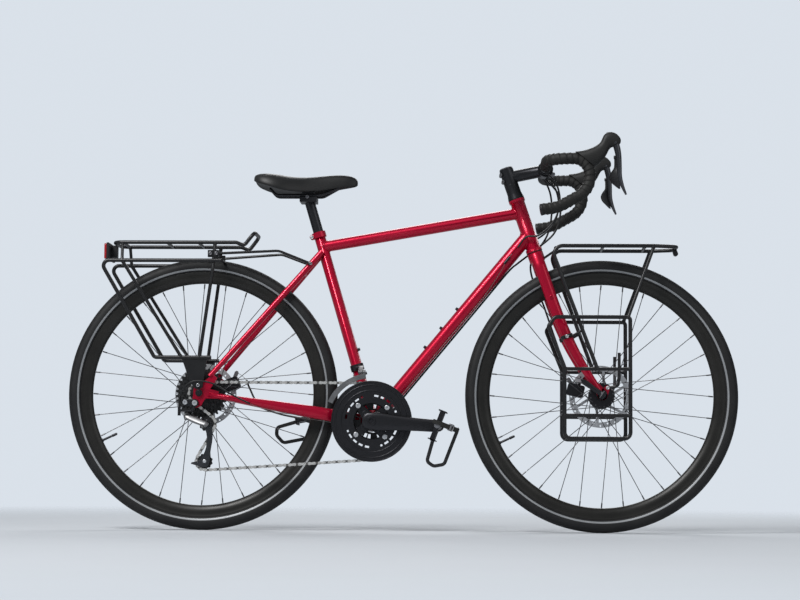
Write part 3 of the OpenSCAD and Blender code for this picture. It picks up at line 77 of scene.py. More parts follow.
Object = bpy.types.Object
Node = bpy.types.Node
Socket = bpy.types.NodeSocket
Sockets = bpy.types.bpy_prop_collection
Tree = bpy.types.NodeTree
MM = 0.001
FORWARD = Vector((1, 0, 0))
ACROSS = Vector((0, 1, 0))
UPWARD = Vector((0, 0, 1))
CHAIN_LINE = -53.3
MERGE_DISTANCE = 2e-6
FLAT_ANGLE = math.radians(0.6)
BEVEL_ANGLE = math.radians(38)
BUMP_DEPTH = 0.0006
COAT_ROUGHNESS = 0.06


# Paths and outlines


def at(x: float, y: float, z: float) -> Vector:
    """Point or offset in millimetres."""
    return Vector((x, y, z))


def near(origin: Vector, *offsets: Triple) -> Points:
    """Points at the given offsets from an origin."""
    return [origin + at(*offset) for offset in offsets]


def other_side(points: Iterable[Vector]) -> Points:
    """The same points on the other side of the bicycle."""
    return [at(p.x, -p.y, p.z) for p in points]


def round_corner(before: Vector, here: Vector, after: Vector, bend: float, steps: int) -> Points:
    """Arc that takes a rod round one corner.

    Args:
        before: Point before the corner.
        here: The sharp corner.
        after: Point after the corner.
        bend: Radius of the bend.
        steps: Stretches in the arc.

    Returns:
        The points of the arc.
    """
    ahead = (here - before).normalized()
    onward = (after - here).normalized()
    turn = ahead.angle(onward)
    side = (onward - ahead * math.cos(turn)) / math.sin(turn)
    centre = here - ahead * bend * math.tan(turn / 2) + side * bend
    swings = [turn * j / steps for j in range(steps + 1)]
    return [centre + bend * (ahead * math.sin(g) - side * math.cos(g)) for g in swings]


def bent_path(points: Points, bends: Sequence[float], steps: int = 8) -> Points:
    """Path of a rod that is bent at each of its inner points."""
    corners = zip(points, points[1:], points[2:], bends)
    return [points[0], *(q for a, b, c, bend in corners for q in round_corner(a, b, c, bend, steps)),
            points[-1]]


def bent_loop(points: Points, bends: Sequence[float], steps: int = 8) -> Points:
    """Path of a closed loop of rod that is bent at every point."""
    corners = zip(points[-1:] + points[:-1], points, points[1:] + points[:1], bends)
    return [q for a, b, c, bend in corners for q in round_corner(a, b, c, bend, steps)]


def smooth_path(points: Points, steps: int = 8) -> Points:
    """Smooth curve through all the points.

    Args:
        points: Points that the curve goes through.
        steps: Stretches between two of them.

    Returns:
        The points of the curve.
    """
    path = []
    for i in range(len(points) - 1):
        a, b = points[max(i - 1, 0)], points[i]
        c, d = points[i + 1], points[min(i + 2, len(points) - 1)]
        for j in range(steps):
            t = j / steps
            path.append(0.5 * (2 * b + (c - a) * t + (2 * a - 5 * b + 4 * c - d) * t * t
                               + (3 * b - a - 3 * c + d) * t ** 3))
    return [*path, points[-1]]


def even_path(path: Points, step: float) -> Points:
    """The same path with points an even distance apart.

    Args:
        path: The points of the path.
        step: Rough distance between the new points.

    Returns:
        The new points.
    """
    marks = [0.0]
    for a, b in zip(path, path[1:]):
        marks.append(marks[-1] + (b - a).length)
    count = max(2, round(marks[-1] / step))
    found, i = [], 0
    for k in range(count + 1):
        s = marks[-1] * k / count
        while i < len(path) - 2 and marks[i + 1] < s:
            i += 1
        span = marks[i + 1] - marks[i]
        found.append(path[i].lerp(path[i + 1], (s - marks[i]) / span if span else 0.0))
    return found


def frames_along(path: Points, closed: bool, ref: Vector | None) -> list[tuple[Vector, Vector]]:
    """Two directions square to the path at each of its points.

    Args:
        path: The points of the path.
        closed: Whether the last point joins the first.
        ref: Direction that the first of the two leans to; without it the frame rolls freely.

    Returns:
        The sideways and upward direction at each point.
    """
    n, found, side = len(path), [], None
    for i, here in enumerate(path):
        before = path[i - 1] if closed or i else here
        after = path[(i + 1) % n] if closed or i < n - 1 else here
        ahead = (after - before).normalized()
        lean = ref if ref is not None else side if side is not None else ahead.orthogonal()
        side = (lean - ahead * ahead.dot(lean)).normalized()
        found.append((side, ahead.cross(side)))
    return found


def circle_angles(count: int) -> list[float]:
    """Even angles round a circle."""
    return [2 * math.pi * k / count for k in range(count)]


def on_circle(centre: Pair, radius: float, angle: float) -> Pair:
    """Point of a circle in a plane."""
    return centre[0] + radius * math.cos(angle), centre[1] + radius * math.sin(angle)


def on_wheel(radius: float, y: float, angle: float) -> Vector:
    """Offset from an axle at a radius, a sideways place and an angle."""
    return at(radius * math.cos(angle), y, radius * math.sin(angle))


def oval(middle: Vector, first: Vector, second: Vector, count: int, power: Pair = (1.0, 1.0)) -> Points:
    """Ring of points round a middle.

    Args:
        middle: Middle of the ring.
        first: Half axis where the ring starts.
        second: Half axis a quarter turn on.
        count: Number of points.
        power: Powers of both axes; under 1 they square the ring off.

    Returns:
        The points of the ring.
    """
    ring = []
    for g in circle_angles(count):
        c, s = math.cos(g), math.sin(g)
        ring.append(middle + first * math.copysign(abs(c) ** power[0], c)
                    + second * math.copysign(abs(s) ** power[1], s))
    return ring


def round_bar(a: Pair, b: Pair, ra: float, rb: float, steps: int = 10) -> list[Pair]:
    """Outline of a bar with a round end of radius ra at a and one of radius rb at b."""
    turn = math.atan2(b[1] - a[1], b[0] - a[0])
    return [on_circle(end, radius, turn + lead + math.pi * k / steps)
            for end, radius, lead in ((b, rb, -math.pi / 2), (a, ra, math.pi / 2)) for k in range(steps + 1)]


# Node trees


def set_inputs(tree: Tree, node: Node, inputs: dict[str | int, object]) -> None:
    """Sets inputs of a node.

    Args:
        tree: Tree of the node.
        node: The node.
        inputs: Value of each input, or the socket that is linked to it, by name or number.
    """
    for key, value in inputs.items():
        if isinstance(value, Socket):
            tree.links.new(value, node.inputs[key])
        else:
            node.inputs[key].default_value = value


def add_node(tree: Tree, kind: str, inputs: dict[str | int, object] | None = None,
             **settings: str) -> Node:
    """Adds a node to a tree.

    Args:
        tree: The tree.
        kind: Type of the node.
        inputs: Its inputs, as for set_inputs.
        settings: Its other settings by name.

    Returns:
        The node.
    """
    node = tree.nodes.new(kind)
    for name, value in settings.items():
        setattr(node, name, value)
    set_inputs(tree, node, inputs or {})
    return node


# Finishes


class Grain(Enum):
    """How the colour and the fine relief of a finish are laid out."""

    FINE = "fine"
    FLAKE = "flake"
    PEBBLED = "pebbled"


@dataclass(frozen=True)
class Finish:
    """One surface finish with its colour, gloss and fine relief."""

    name: str
    slot: str
    colour: Triple
    shade: Triple
    rough: float
    rough_spread: float = 0.06
    metal: float = 0.0
    coat: float = 0.0
    grain: Grain = Grain.FINE
    grain_scale: float = 900.0
    relief: float = 0.15
    patch_scale: float = 14.0
    specular: float = 0.5
    patch_edges: Pair = (0.32, 0.68)

    def material(self) -> bpy.types.Material:
        """Makes the material once.

        Returns:
            The material.
        """
        made = bpy.data.materials.get(self.name)
        if made is not None:
            return made
        made = bpy.data.materials.new(self.name)
        made.use_nodes = True
        tree = made.node_tree
        where = add_node(tree, "ShaderNodeTexCoord").outputs["Object"]
        set_inputs(tree, tree.nodes["Principled BSDF"], {
            "Metallic": self.metal, "Coat Weight": self.coat, "Coat Roughness": COAT_ROUGHNESS,
            "Specular IOR Level": self.specular, "Base Color": self._colour(tree, where),
            "Roughness": self._gloss(tree, where), "Normal": self._relief(tree, where)})
        return made

    def _colour(self, tree: Tree, where: Socket) -> Socket:
        """Blends the two colours in soft patches, or in flakes where the finish has them.

        Args:
            tree: Tree of the material.
            where: Coordinates of the piece.

        Returns:
            The socket with the colour.
        """
        if self.grain is Grain.FLAKE:
            cells = add_node(tree, "ShaderNodeTexVoronoi", {"Vector": where, "Scale": self.grain_scale})
            pick = add_node(tree, "ShaderNodeSeparateColor", {"Color": cells.outputs["Color"]})
            share = pick.outputs["Red"]
        else:
            low, high = self.patch_edges
            cloud = self._noise(tree, where, self.patch_scale, 6.0)
            span = add_node(tree, "ShaderNodeMapRange", {"Value": cloud, "From Min": low, "From Max": high})
            share = span.outputs["Result"]
        mix = add_node(tree, "ShaderNodeMix", {
            "A": (*self.colour, 1), "B": (*self.shade, 1), "Factor": share}, data_type="RGBA")
        return mix.outputs["Result"]

    def _gloss(self, tree: Tree, where: Socket) -> Socket:
        """Lets the roughness wander a little around its value."""
        span = add_node(tree, "ShaderNodeMapRange", {
            "Value": self._noise(tree, where, self.patch_scale * 3, 4.0),
            "To Min": self.rough - self.rough_spread, "To Max": self.rough + self.rough_spread})
        return span.outputs["Result"]

    def _relief(self, tree: Tree, where: Socket) -> Socket:
        """Makes the fine relief of the grain as bump.

        Args:
            tree: Tree of the material.
            where: Coordinates of the piece.

        Returns:
            The socket with the normal.
        """
        if self.grain is Grain.PEBBLED:
            cells = add_node(tree, "ShaderNodeTexVoronoi", {"Vector": where, "Scale": self.grain_scale},
                             feature="SMOOTH_F1")
            height = cells.outputs["Distance"]
        else:
            height = self._noise(tree, where, self.grain_scale, 3.0)
        bump = add_node(tree, "ShaderNodeBump",
                        {"Strength": self.relief, "Distance": BUMP_DEPTH, "Height": height})
        return bump.outputs["Normal"]

    @staticmethod
    def _noise(tree: Tree, where: Socket, scale: float,
               detail: float) -> Socket:
        """Noise on the coordinates of the piece."""
        noise = add_node(tree, "ShaderNodeTexNoise", {"Vector": where, "Scale": scale, "Detail": detail})
        return noise.outputs["Fac"]


RED_PAINT = Finish("red_metallic_paint", "frame_paint", (0.40, 0.001, 0.024), (0.47, 0.0016, 0.031),
                   rough=0.30, rough_spread=0.03, metal=0.45, coat=0.32, grain=Grain.FLAKE,
                   grain_scale=4200.0, relief=0.003, specular=0.22)
RACK_PAINT = Finish("black_powder_coat", "rack_paint", (0.006, 0.006, 0.007), (0.011, 0.011, 0.012),
                    rough=0.34, grain_scale=1500.0, relief=0.10, specular=0.45)
TYRE_RUBBER = Finish("tyre_rubber", "tyre", (0.010, 0.010, 0.011), (0.017, 0.017, 0.017),
                     rough=0.58, rough_spread=0.08, grain_scale=1100.0, relief=0.25, specular=0.3)
STRIPE = Finish("reflective_stripe", "tyre", (0.24, 0.25, 0.26), (0.31, 0.32, 0.33),
                rough=0.42, metal=0.2, grain=Grain.PEBBLED, grain_scale=1400.0)
RIM_BLACK = Finish("dark_rim", "rim_alloy", (0.012, 0.0115, 0.010), (0.019, 0.018, 0.016),
                   rough=0.36, metal=0.2, grain_scale=1200.0, relief=0.05, specular=0.4)
SPOKE_STEEL = Finish("dark_spoke_steel", "spoke_steel", (0.09, 0.09, 0.095), (0.15, 0.15, 0.155),
                     rough=0.30, metal=0.9, grain_scale=700.0, relief=0.03)
BLACK_ALLOY = Finish("black_alloy", "black_alloy", (0.008, 0.008, 0.009), (0.014, 0.014, 0.015),
                     rough=0.30, metal=0.2, grain_scale=1300.0, relief=0.05, specular=0.45)
DARK_STEEL = Finish("dark_steel", "dark_steel", (0.035, 0.035, 0.036), (0.075, 0.074, 0.073),
                    rough=0.32, rough_spread=0.08, metal=0.85, grain_scale=500.0, relief=0.06,
                    patch_scale=30.0)
BRIGHT_STEEL = Finish("bright_steel", "bright_steel", (0.42, 0.43, 0.45), (0.54, 0.55, 0.57),
                      rough=0.26, rough_spread=0.07, metal=0.95, grain_scale=600.0, relief=0.06,
                      patch_scale=30.0)
CHAIN_STEEL = Finish("chain_steel", "bright_steel", (0.62, 0.61, 0.585), (0.74, 0.73, 0.705),
                     rough=0.28, rough_spread=0.07, metal=0.7, grain_scale=700.0, relief=0.06,
                     patch_scale=60.0)
LINK_STEEL = Finish("inner_link_steel", "dark_steel", (0.13, 0.127, 0.12), (0.2, 0.196, 0.19),
                    rough=0.34, rough_spread=0.07, metal=0.7, grain_scale=700.0, relief=0.06,
                    patch_scale=60.0)
COG_STEEL = Finish("blackened_cog_steel", "dark_steel", (0.012, 0.012, 0.013), (0.026, 0.026, 0.027),
                   rough=0.38, rough_spread=0.07, metal=0.4, grain_scale=500.0, relief=0.06,
                   patch_scale=30.0, specular=0.4)
CASSETTE_STEEL = Finish("worn_cassette_steel", "dark_steel", (0.014, 0.014, 0.0145), (0.05, 0.05, 0.051),
                        rough=0.42, rough_spread=0.08, metal=0.6, grain_scale=500.0, relief=0.08,
                        patch_scale=160.0, specular=0.4)
SATIN_ALLOY = Finish("satin_alloy", "bright_steel", (0.17, 0.17, 0.175), (0.25, 0.25, 0.255),
                     rough=0.40, metal=0.85, grain_scale=600.0, relief=0.06, patch_scale=30.0)
TAPE_CORK = Finish("bar_tape_cork", "bar_tape", (0.010, 0.0098, 0.009), (0.018, 0.0175, 0.016),
                   rough=0.60, grain=Grain.PEBBLED, grain_scale=950.0, relief=0.3, patch_scale=60.0,
                   specular=0.3)
LEVER_GREY = Finish("lever_grey", "lever", (0.050, 0.052, 0.058), (0.075, 0.077, 0.084),
                    rough=0.28, rough_spread=0.05, metal=0.75, grain_scale=1000.0, relief=0.04)
HOOD_RUBBER = Finish("hood_rubber", "black_plastic", (0.010, 0.010, 0.0095), (0.016, 0.016, 0.015),
                     rough=0.54, grain=Grain.PEBBLED, grain_scale=700.0, relief=0.2, specular=0.35)
BLACK_PLASTIC = Finish("moulded_plastic", "black_plastic", (0.008, 0.008, 0.009), (0.013, 0.013, 0.014),
                       rough=0.44, rough_spread=0.07, grain_scale=800.0, relief=0.12, specular=0.4)
SADDLE_SKIN = Finish("saddle_skin", "saddle_cover", (0.009, 0.009, 0.009), (0.015, 0.015, 0.015),
                     rough=0.44, grain=Grain.PEBBLED, grain_scale=850.0, relief=0.22, specular=0.35)
REFLECTOR_RED = Finish("red_reflector", "frame_paint", (0.30, 0.006, 0.010), (0.42, 0.010, 0.014),
                       rough=0.18, rough_spread=0.03, coat=0.5, grain=Grain.PEBBLED, grain_scale=420.0,
                       relief=0.35)


# Meshes and pieces


def add_object(name: str, data: bpy.types.ID) -> Object:
    """Adds an object to the scene, at the origin.

    Args:
        name: Its name.
        data: Its mesh, lamp or camera.

    Returns:
        The object.
    """
    added = bpy.data.objects.new(name, data)
    bpy.context.scene.collection.objects.link(added)
    return added


def tidy_mesh(mesh: Mesh, sharp: float, flatten: bool = False) -> None:
    """Merges doubled points, turns the faces outwards and shades smooth up to an angle.

    Args:
        mesh: Mesh to tidy.
        sharp: Angle in degrees from which edges stay sharp.
        flatten: Whether the triangles of a plane become one face.
    """
    work = bmesh.new()
    work.from_mesh(mesh)
    bmesh.ops.remove_doubles(work, verts=work.verts, dist=MERGE_DISTANCE)
    if flatten:
        bmesh.ops.dissolve_limit(work, angle_limit=FLAT_ANGLE, verts=work.verts, edges=work.edges)
    else:
        bmesh.ops.recalc_face_normals(work, faces=work.faces)
    work.to_mesh(mesh)
    work.free()
    mesh.shade_smooth()
    mesh.set_sharp_from_angle(angle=math.radians(sharp))


def set_piece(name: str, mesh: Mesh, finishes: Sequence[Finish], body: str,
              replaces: Sequence[str] = (), round_off: float = 0.0, divide: int = 0) -> Object:
    """Puts a finished mesh into the scene as a piece of one body.

    Args:
        name: Name of the piece.
        mesh: Its mesh, in metres and in place.
        finishes: Its finishes, in the order of the mesh's material numbers.
        body: CAD body that it moves with.
        replaces: CAD nodes that it stands for.
        round_off: Width of the bevel on its sharp edges.
        divide: Levels of subdivision.

    Returns:
        The piece.
    """
    if not mesh.materials:
        for finish in finishes:
            mesh.materials.append(finish.material())
    piece = add_object(name, mesh)
    if round_off:
        bevel = piece.modifiers.new("edges", "BEVEL")
        bevel.width = round_off * MM
        bevel.segments = 2
        bevel.limit_method = "ANGLE"
        bevel.angle_limit = BEVEL_ANGLE
    if divide:
        surface = piece.modifiers.new("surface", "SUBSURF")
        surface.levels = surface.render_levels = divide
    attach(piece, body)
    if replaces:
        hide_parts(*replaces)
    LOG.info("%s on %s, %d faces", name, body, len(mesh.polygons))
    return piece


class Shape:
    """Faces of one piece, gathered in millimetres."""

    def __init__(self) -> None:
        """Starts with no faces."""
        self.points: Points = []
        self.faces: list[tuple[int, ...]] = []
        self.finish_of: list[int] = []

    def skin(self, rings: Sequence[Points], closed: bool = False, finish: int = 0) -> None:
        """Stretches faces over rings of equally many points, with lids unless it is closed.

        Args:
            rings: The rings in order.
            closed: Whether the last ring joins the first.
            finish: Number of the finish.
        """
        first, n, m = len(self.points), len(rings[0]), len(rings)
        for ring in rings:
            self.points += ring
        made = []
        for i in range(m if closed else m - 1):
            a, b = first + i * n, first + (i + 1) % m * n
            made += [(a + k, a + (k + 1) % n, b + (k + 1) % n, b + k) for k in range(n)]
        if not closed:
            made.append(tuple(range(first + n - 1, first - 1, -1)))
            made.append(tuple(range(first + (m - 1) * n, first + m * n)))
        self.faces += made
        self.finish_of += [finish] * len(made)

    def tube(self, path: Points, radius: float | Sequence[float], sides: int, closed: bool = False,
             ref: Vector | None = None, finish: int = 0) -> None:
        """Sweeps a round section along a path.

        Args:
            path: The points of the path.
            radius: Radius of the section, or one for each point.
            sides: Points round the section.
            closed: Whether the last point joins the first.
            ref: Direction that the first point of the section leans to.
            finish: Number of the finish.
        """
        radii = radius if isinstance(radius, Sequence) else [radius] * len(path)
        frames = frames_along(path, closed, ref)
        rings = [oval(p, side * r, up * r, sides) for p, r, (side, up) in zip(path, radii, frames)]
        self.skin(rings, closed, finish)

    def limb(self, spots: Points, halves: Sequence[Pair], steps: int, sides: int) -> None:
        """Sweeps an oval section smoothly through some points.

        Args:
            spots: Points that the limb goes through.
            halves: Half width across the bicycle and half depth at each point.
            steps: Stretches between two points.
            sides: Points round the section.
        """
        path = smooth_path(spots, steps)
        sizes = smooth_path([at(wide, deep, 0) for wide, deep in halves], steps)
        frames = frames_along(path, False, ACROSS)
        self.skin([oval(p, out * size.x, back * size.y, sides)
                   for p, size, (out, back) in zip(path, sizes, frames)])

    def strip(self, path: Points, half_w: float, half_t: float, ref: Vector, closed: bool = False) -> None:
        """Sweeps a flat section along a path; ref is the direction of its width."""
        rings = [[p + side * half_w * a + up * half_t * b for a, b in ((1, 1), (-1, 1), (-1, -1), (1, -1))]
                 for p, (side, up) in zip(path, frames_along(path, closed, ref))]
        self.skin(rings, closed)

    def lathe(self, profile: Sequence[Pair], centre: Vector, steps: int) -> None:
        """Turns a closed profile of radius and sideways place round the Y axis of a point."""
        self.skin([[centre + on_wheel(r, y, g) for r, y in profile] for g in circle_angles(steps)], True)

    def plate(self, outline: Sequence[Pair], y1: float, y2: float, centre: Vector = at(0, 0, 0)) -> None:
        """Plate in the X-Z plane from y1 to y2."""
        self.skin([[at(centre.x + x, y, centre.z + z) for x, z in outline] for y in (y1, y2)])

    def polar_plate(self, radii: Sequence[float], steps: int, sides: Pair, centre: Vector,
                    keep: Callable[[int, int], bool]) -> None:
        """Round plate across the Y axis, made of bands and sectors of which some are left open.

        Args:
            radii: Edges of the bands from the bore outwards.
            steps: Sectors in a full turn.
            sides: Both sideways places of the plate's faces.
            centre: Point of its axis.
            keep: Whether the band and sector with these numbers are solid.
        """
        bands = len(radii) - 1
        first = len(self.points)
        for y in sides:
            for r in radii:
                self.points += [centre + on_wheel(r, y, g) for g in circle_angles(steps)]

        def spot(face: int, edge: int, k: int) -> int:
            """Number of a point of the plate."""
            return first + (face * len(radii) + edge) * steps + k % steps

        made = []
        for i in range(bands):
            for k in range(steps):
                if not keep(i, k):
                    continue
                made += [tuple(spot(f, e, n) for e, n in ((i, k), (i + 1, k), (i + 1, k + 1), (i, k + 1)))
                         for f in (0, 1)]
                walls = (((i, k), (i, k + 1), i > 0 and keep(i - 1, k)),
                         ((i + 1, k), (i + 1, k + 1), i + 1 < bands and keep(i + 1, k)),
                         ((i, k), (i + 1, k), keep(i, (k - 1) % steps)),
                         ((i, k + 1), (i + 1, k + 1), keep(i, (k + 1) % steps)))
                made += [(spot(0, *p), spot(0, *q), spot(1, *q), spot(1, *p))
                         for p, q, shut in walls if not shut]
        self.faces += made
        self.finish_of += [0] * len(made)

    def turned_rod(self, base: Vector, axis: Vector, profile: Sequence[Pair], sides: int,
                   finish: int = 0) -> None:
        """Turned bar along an axis; the profile gives heights above its base and their radii."""
        side = axis.orthogonal().normalized()
        self.skin([oval(base + axis * h, side * r, axis.cross(side) * r, sides) for h, r in profile],
                  finish=finish)

    def block(self, low: Vector, high: Vector) -> None:
        """Box between two corners."""
        ring = [(low.x, low.z), (high.x, low.z), (high.x, high.z), (low.x, high.z)]
        self.plate(ring, low.y, high.y)

    def move(self, change: Callable[[Vector], Vector]) -> "Shape":
        """Shape with every point moved by a rule.

        Args:
            change: The rule.

        Returns:
            The new shape.
        """
        moved = Shape()
        moved.points = [change(p) for p in self.points]
        moved.faces = list(self.faces)
        moved.finish_of = list(self.finish_of)
        return moved

    def join(self, other: "Shape") -> None:
        """Adds the faces of another shape.

        Args:
            other: The other shape.
        """
        first = len(self.points)
        self.points += other.points
        self.faces += [tuple(i + first for i in face) for face in other.faces]
        self.finish_of += other.finish_of

    def mirrored(self) -> "Shape":
        """The shape on the other side of the bicycle."""
        return self.move(lambda p: at(p.x, -p.y, p.z))

    def paired(self) -> "Shape":
        """Adds the shape's own mirror image and returns the whole."""
        self.join(self.mirrored())
        return self

    def mesh(self, name: str, sharp: float = 35.0) -> Mesh:
        """Makes the mesh in metres.

        Args:
            name: Its name.
            sharp: Angle in degrees from which edges stay sharp.

        Returns:
            The mesh.
        """
        mesh = bpy.data.meshes.new(name)
        mesh.from_pydata([p * MM for p in self.points], [], self.faces)
        mesh.polygons.foreach_set("material_index", self.finish_of)
        tidy_mesh(mesh, sharp)
        return mesh

    def piece(self, name: str, finishes: Finish | Sequence[Finish], body: str, replaces: Sequence[str] = (),
              round_off: float = 0.0, divide: int = 0, sharp: float = 35.0) -> Object:
        """Makes the piece; see set_piece for the arguments."""
        coats = [finishes] if isinstance(finishes, Finish) else finishes
        return set_piece(name, self.mesh(name, sharp), coats, body, replaces, round_off, divide)


def dress_node(node: str, finish: Finish, round_off: float = 0.0, sharp: float = 30.0,
               flatten: bool = True) -> Object:
    """Stands a smooth copy with rounded edges for a CAD node.

    Args:
        node: Name of the node.
        finish: Finish of the copy.
        round_off: Width of the bevel on its sharp edges.
        sharp: Angle in degrees from which edges stay sharp.
        flatten: Whether the triangles of a plane become one face.

    Returns:
        The piece that stands for the node.
    """
    mesh = frame["nodes"][node].data.copy()
    mesh.materials.clear()
    tidy_mesh(mesh, sharp, flatten)
    body = frame["nodes"][node]["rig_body"]
    return set_piece(f"{node}_finished", mesh, [finish], body, [node], round_off)


# Repeats made by geometry nodes


class Repeat:
    """Geometry Nodes trees that set copies of a part round an axle or on marked points."""

    @staticmethod
    def _tree(name: str, kinds: dict[str, str]) -> tuple[Tree, Sockets]:
        """New tree with a geometry input and output.

        Args:
            name: Name of the tree.
            kinds: Kind of each further input by label.

        Returns:
            The tree and the sockets of its inputs.
        """
        tree = bpy.data.node_groups.new(name, "GeometryNodeTree")
        tree.interface.new_socket("Geometry", in_out="OUTPUT", socket_type="NodeSocketGeometry")
        for label, kind in {"Geometry": "Geometry", **kinds}.items():
            tree.interface.new_socket(label, in_out="INPUT", socket_type=f"NodeSocket{kind}")
        return tree, tree.nodes.new("NodeGroupInput").outputs

    @staticmethod
    def _close(tree: Tree, copies: Socket, finish: Socket) -> None:
        """Ends a tree in Realize Instances and Set Material.

        Args:
            tree: The tree.
            copies: Socket with the copies.
            finish: Socket with their material.
        """
        real = add_node(tree, "GeometryNodeRealizeInstances", {"Geometry": copies})
        paint = add_node(tree, "GeometryNodeSetMaterial",
                         {"Geometry": real.outputs["Geometry"], "Material": finish})
        add_node(tree, "NodeGroupOutput", {"Geometry": paint.outputs["Geometry"]})

    @classmethod
    def ring_tree(cls) -> Tree:
        """Makes the tree that turns a part about the Y axis in even steps, once.

        Returns:
            The tree.
        """
        made = bpy.data.node_groups.get("copies_round_axle")
        if made is not None:
            return made
        tree, given = cls._tree("copies_round_axle", {
            "Part": "Object", "Count": "Int", "Phase": "Float", "Centre": "Vector", "Finish": "Material"})
        line = add_node(tree, "GeometryNodeMeshLine", {"Count": given["Count"], "Offset": (0, 0, 0)})
        part = add_node(tree, "GeometryNodeObjectInfo", {"Object": given["Part"]})
        index = add_node(tree, "GeometryNodeInputIndex")
        share = add_node(tree, "ShaderNodeMath", {0: index.outputs[0], 1: given["Count"]},
                         operation="DIVIDE")
        turn = add_node(tree, "ShaderNodeMath", {0: share.outputs[0], 1: 2 * math.pi, 2: given["Phase"]},
                        operation="MULTIPLY_ADD")
        spin = add_node(tree, "ShaderNodeCombineXYZ", {"Y": turn.outputs[0]})
        copies = add_node(tree, "GeometryNodeInstanceOnPoints", {
            "Points": line.outputs["Mesh"], "Instance": part.outputs["Geometry"],
            "Rotation": spin.outputs[0]})
        place = add_node(tree, "GeometryNodeTransform",
                         {"Geometry": copies.outputs["Instances"], "Translation": given["Centre"]})
        cls._close(tree, place.outputs["Geometry"], given["Finish"])
        return tree

    @classmethod
    def path_tree(cls) -> Tree:
        """Makes the tree that sets a part on points that carry their own turn, once.

        Returns:
            The tree.
        """
        made = bpy.data.node_groups.get("copies_on_points")
        if made is not None:
            return made
        tree, given = cls._tree("copies_on_points", {"Part": "Object", "Finish": "Material"})
        turn = add_node(tree, "GeometryNodeInputNamedAttribute", {"Name": "turn"}, data_type="FLOAT_VECTOR")
        part = add_node(tree, "GeometryNodeObjectInfo", {"Object": given["Part"]})
        copies = add_node(tree, "GeometryNodeInstanceOnPoints", {
            "Points": given["Geometry"], "Instance": part.outputs["Geometry"],
            "Rotation": turn.outputs["Attribute"]})
        cls._close(tree, copies.outputs["Instances"], given["Finish"])
        return tree

    @staticmethod
    def _bake(name: str, base: Mesh, tree: Tree, values: dict[str, object],
              part: Object) -> Mesh:
        """Runs a tree on a base mesh.

        Args:
            name: Name of the new mesh.
            base: Mesh that the tree starts from.
            tree: Tree to run.
            values: Values of its inputs by label.
            part: Part object to remove afterwards.

        Returns:
            The realized mesh.
        """
        holder = add_object(f"{name}_holder", base)
        modifier = holder.modifiers.new("repeat", "NODES")
        modifier.node_group = tree
        for item in tree.interface.items_tree:
            if item.in_out == "INPUT" and item.name in values:
                modifier[item.identifier] = values[item.name]
        graph = bpy.context.evaluated_depsgraph_get()
        mesh = bpy.data.meshes.new_from_object(holder.evaluated_get(graph))
        mesh.name = name
        for used in (holder, part):
            bpy.data.objects.remove(used)
        return mesh

    @classmethod
    def round_axle(cls, name: str, shape: Shape, count: int, centre: Vector, finish: Finish, body: str,
                   phase: float = 0.0) -> Object:
        """Copies a part round an axle.

        Args:
            name: Name of the piece.
            shape: Part, drawn around the origin with the axle along Y.
            count: Number of copies.
            centre: Point of the axle.
            finish: Finish of the copies.
            body: CAD body of the piece.
            phase: Turn of the first copy in radians.

        Returns:
            The piece.
        """
        part = add_object(f"{name}_part", shape.mesh(f"{name}_part"))
        values = {"Part": part, "Count": count, "Phase": phase, "Centre": tuple(centre * MM),
                  "Finish": finish.material()}
        mesh = cls._bake(name, bpy.data.meshes.new(f"{name}_base"), cls.ring_tree(), values, part)
        return set_piece(name, mesh, [finish], body)

    @classmethod
    def on_points(cls, name: str, shape: Shape, places: Points, turns: Points, finish: Finish, body: str,
                  replaces: Sequence[str] = (), sharp: float = 35.0) -> Object:
        """Sets copies of a part on a row of points.

        Args:
            name: Name of the piece.
            shape: Part, drawn around the origin.
            places: The points.
            turns: Euler turn of each copy in radians.
            finish: Finish of the copies.
            body: CAD body of the piece.
            replaces: CAD nodes that the piece stands for.
            sharp: Angle in degrees from which edges stay sharp.

        Returns:
            The piece.
        """
        part = add_object(f"{name}_part", shape.mesh(f"{name}_part", sharp))
        base = bpy.data.meshes.new(f"{name}_base")
        base.from_pydata([p * MM for p in places], [], [])
        marks = base.attributes.new("turn", "FLOAT_VECTOR", "POINT")
        for mark, turn in zip(marks.data, turns):
            mark.vector = turn
        values = {"Part": part, "Finish": finish.material()}
        mesh = cls._bake(name, base, cls.path_tree(), values, part)
        return set_piece(name, mesh, [finish], body, replaces)


# Layout of the bicycle


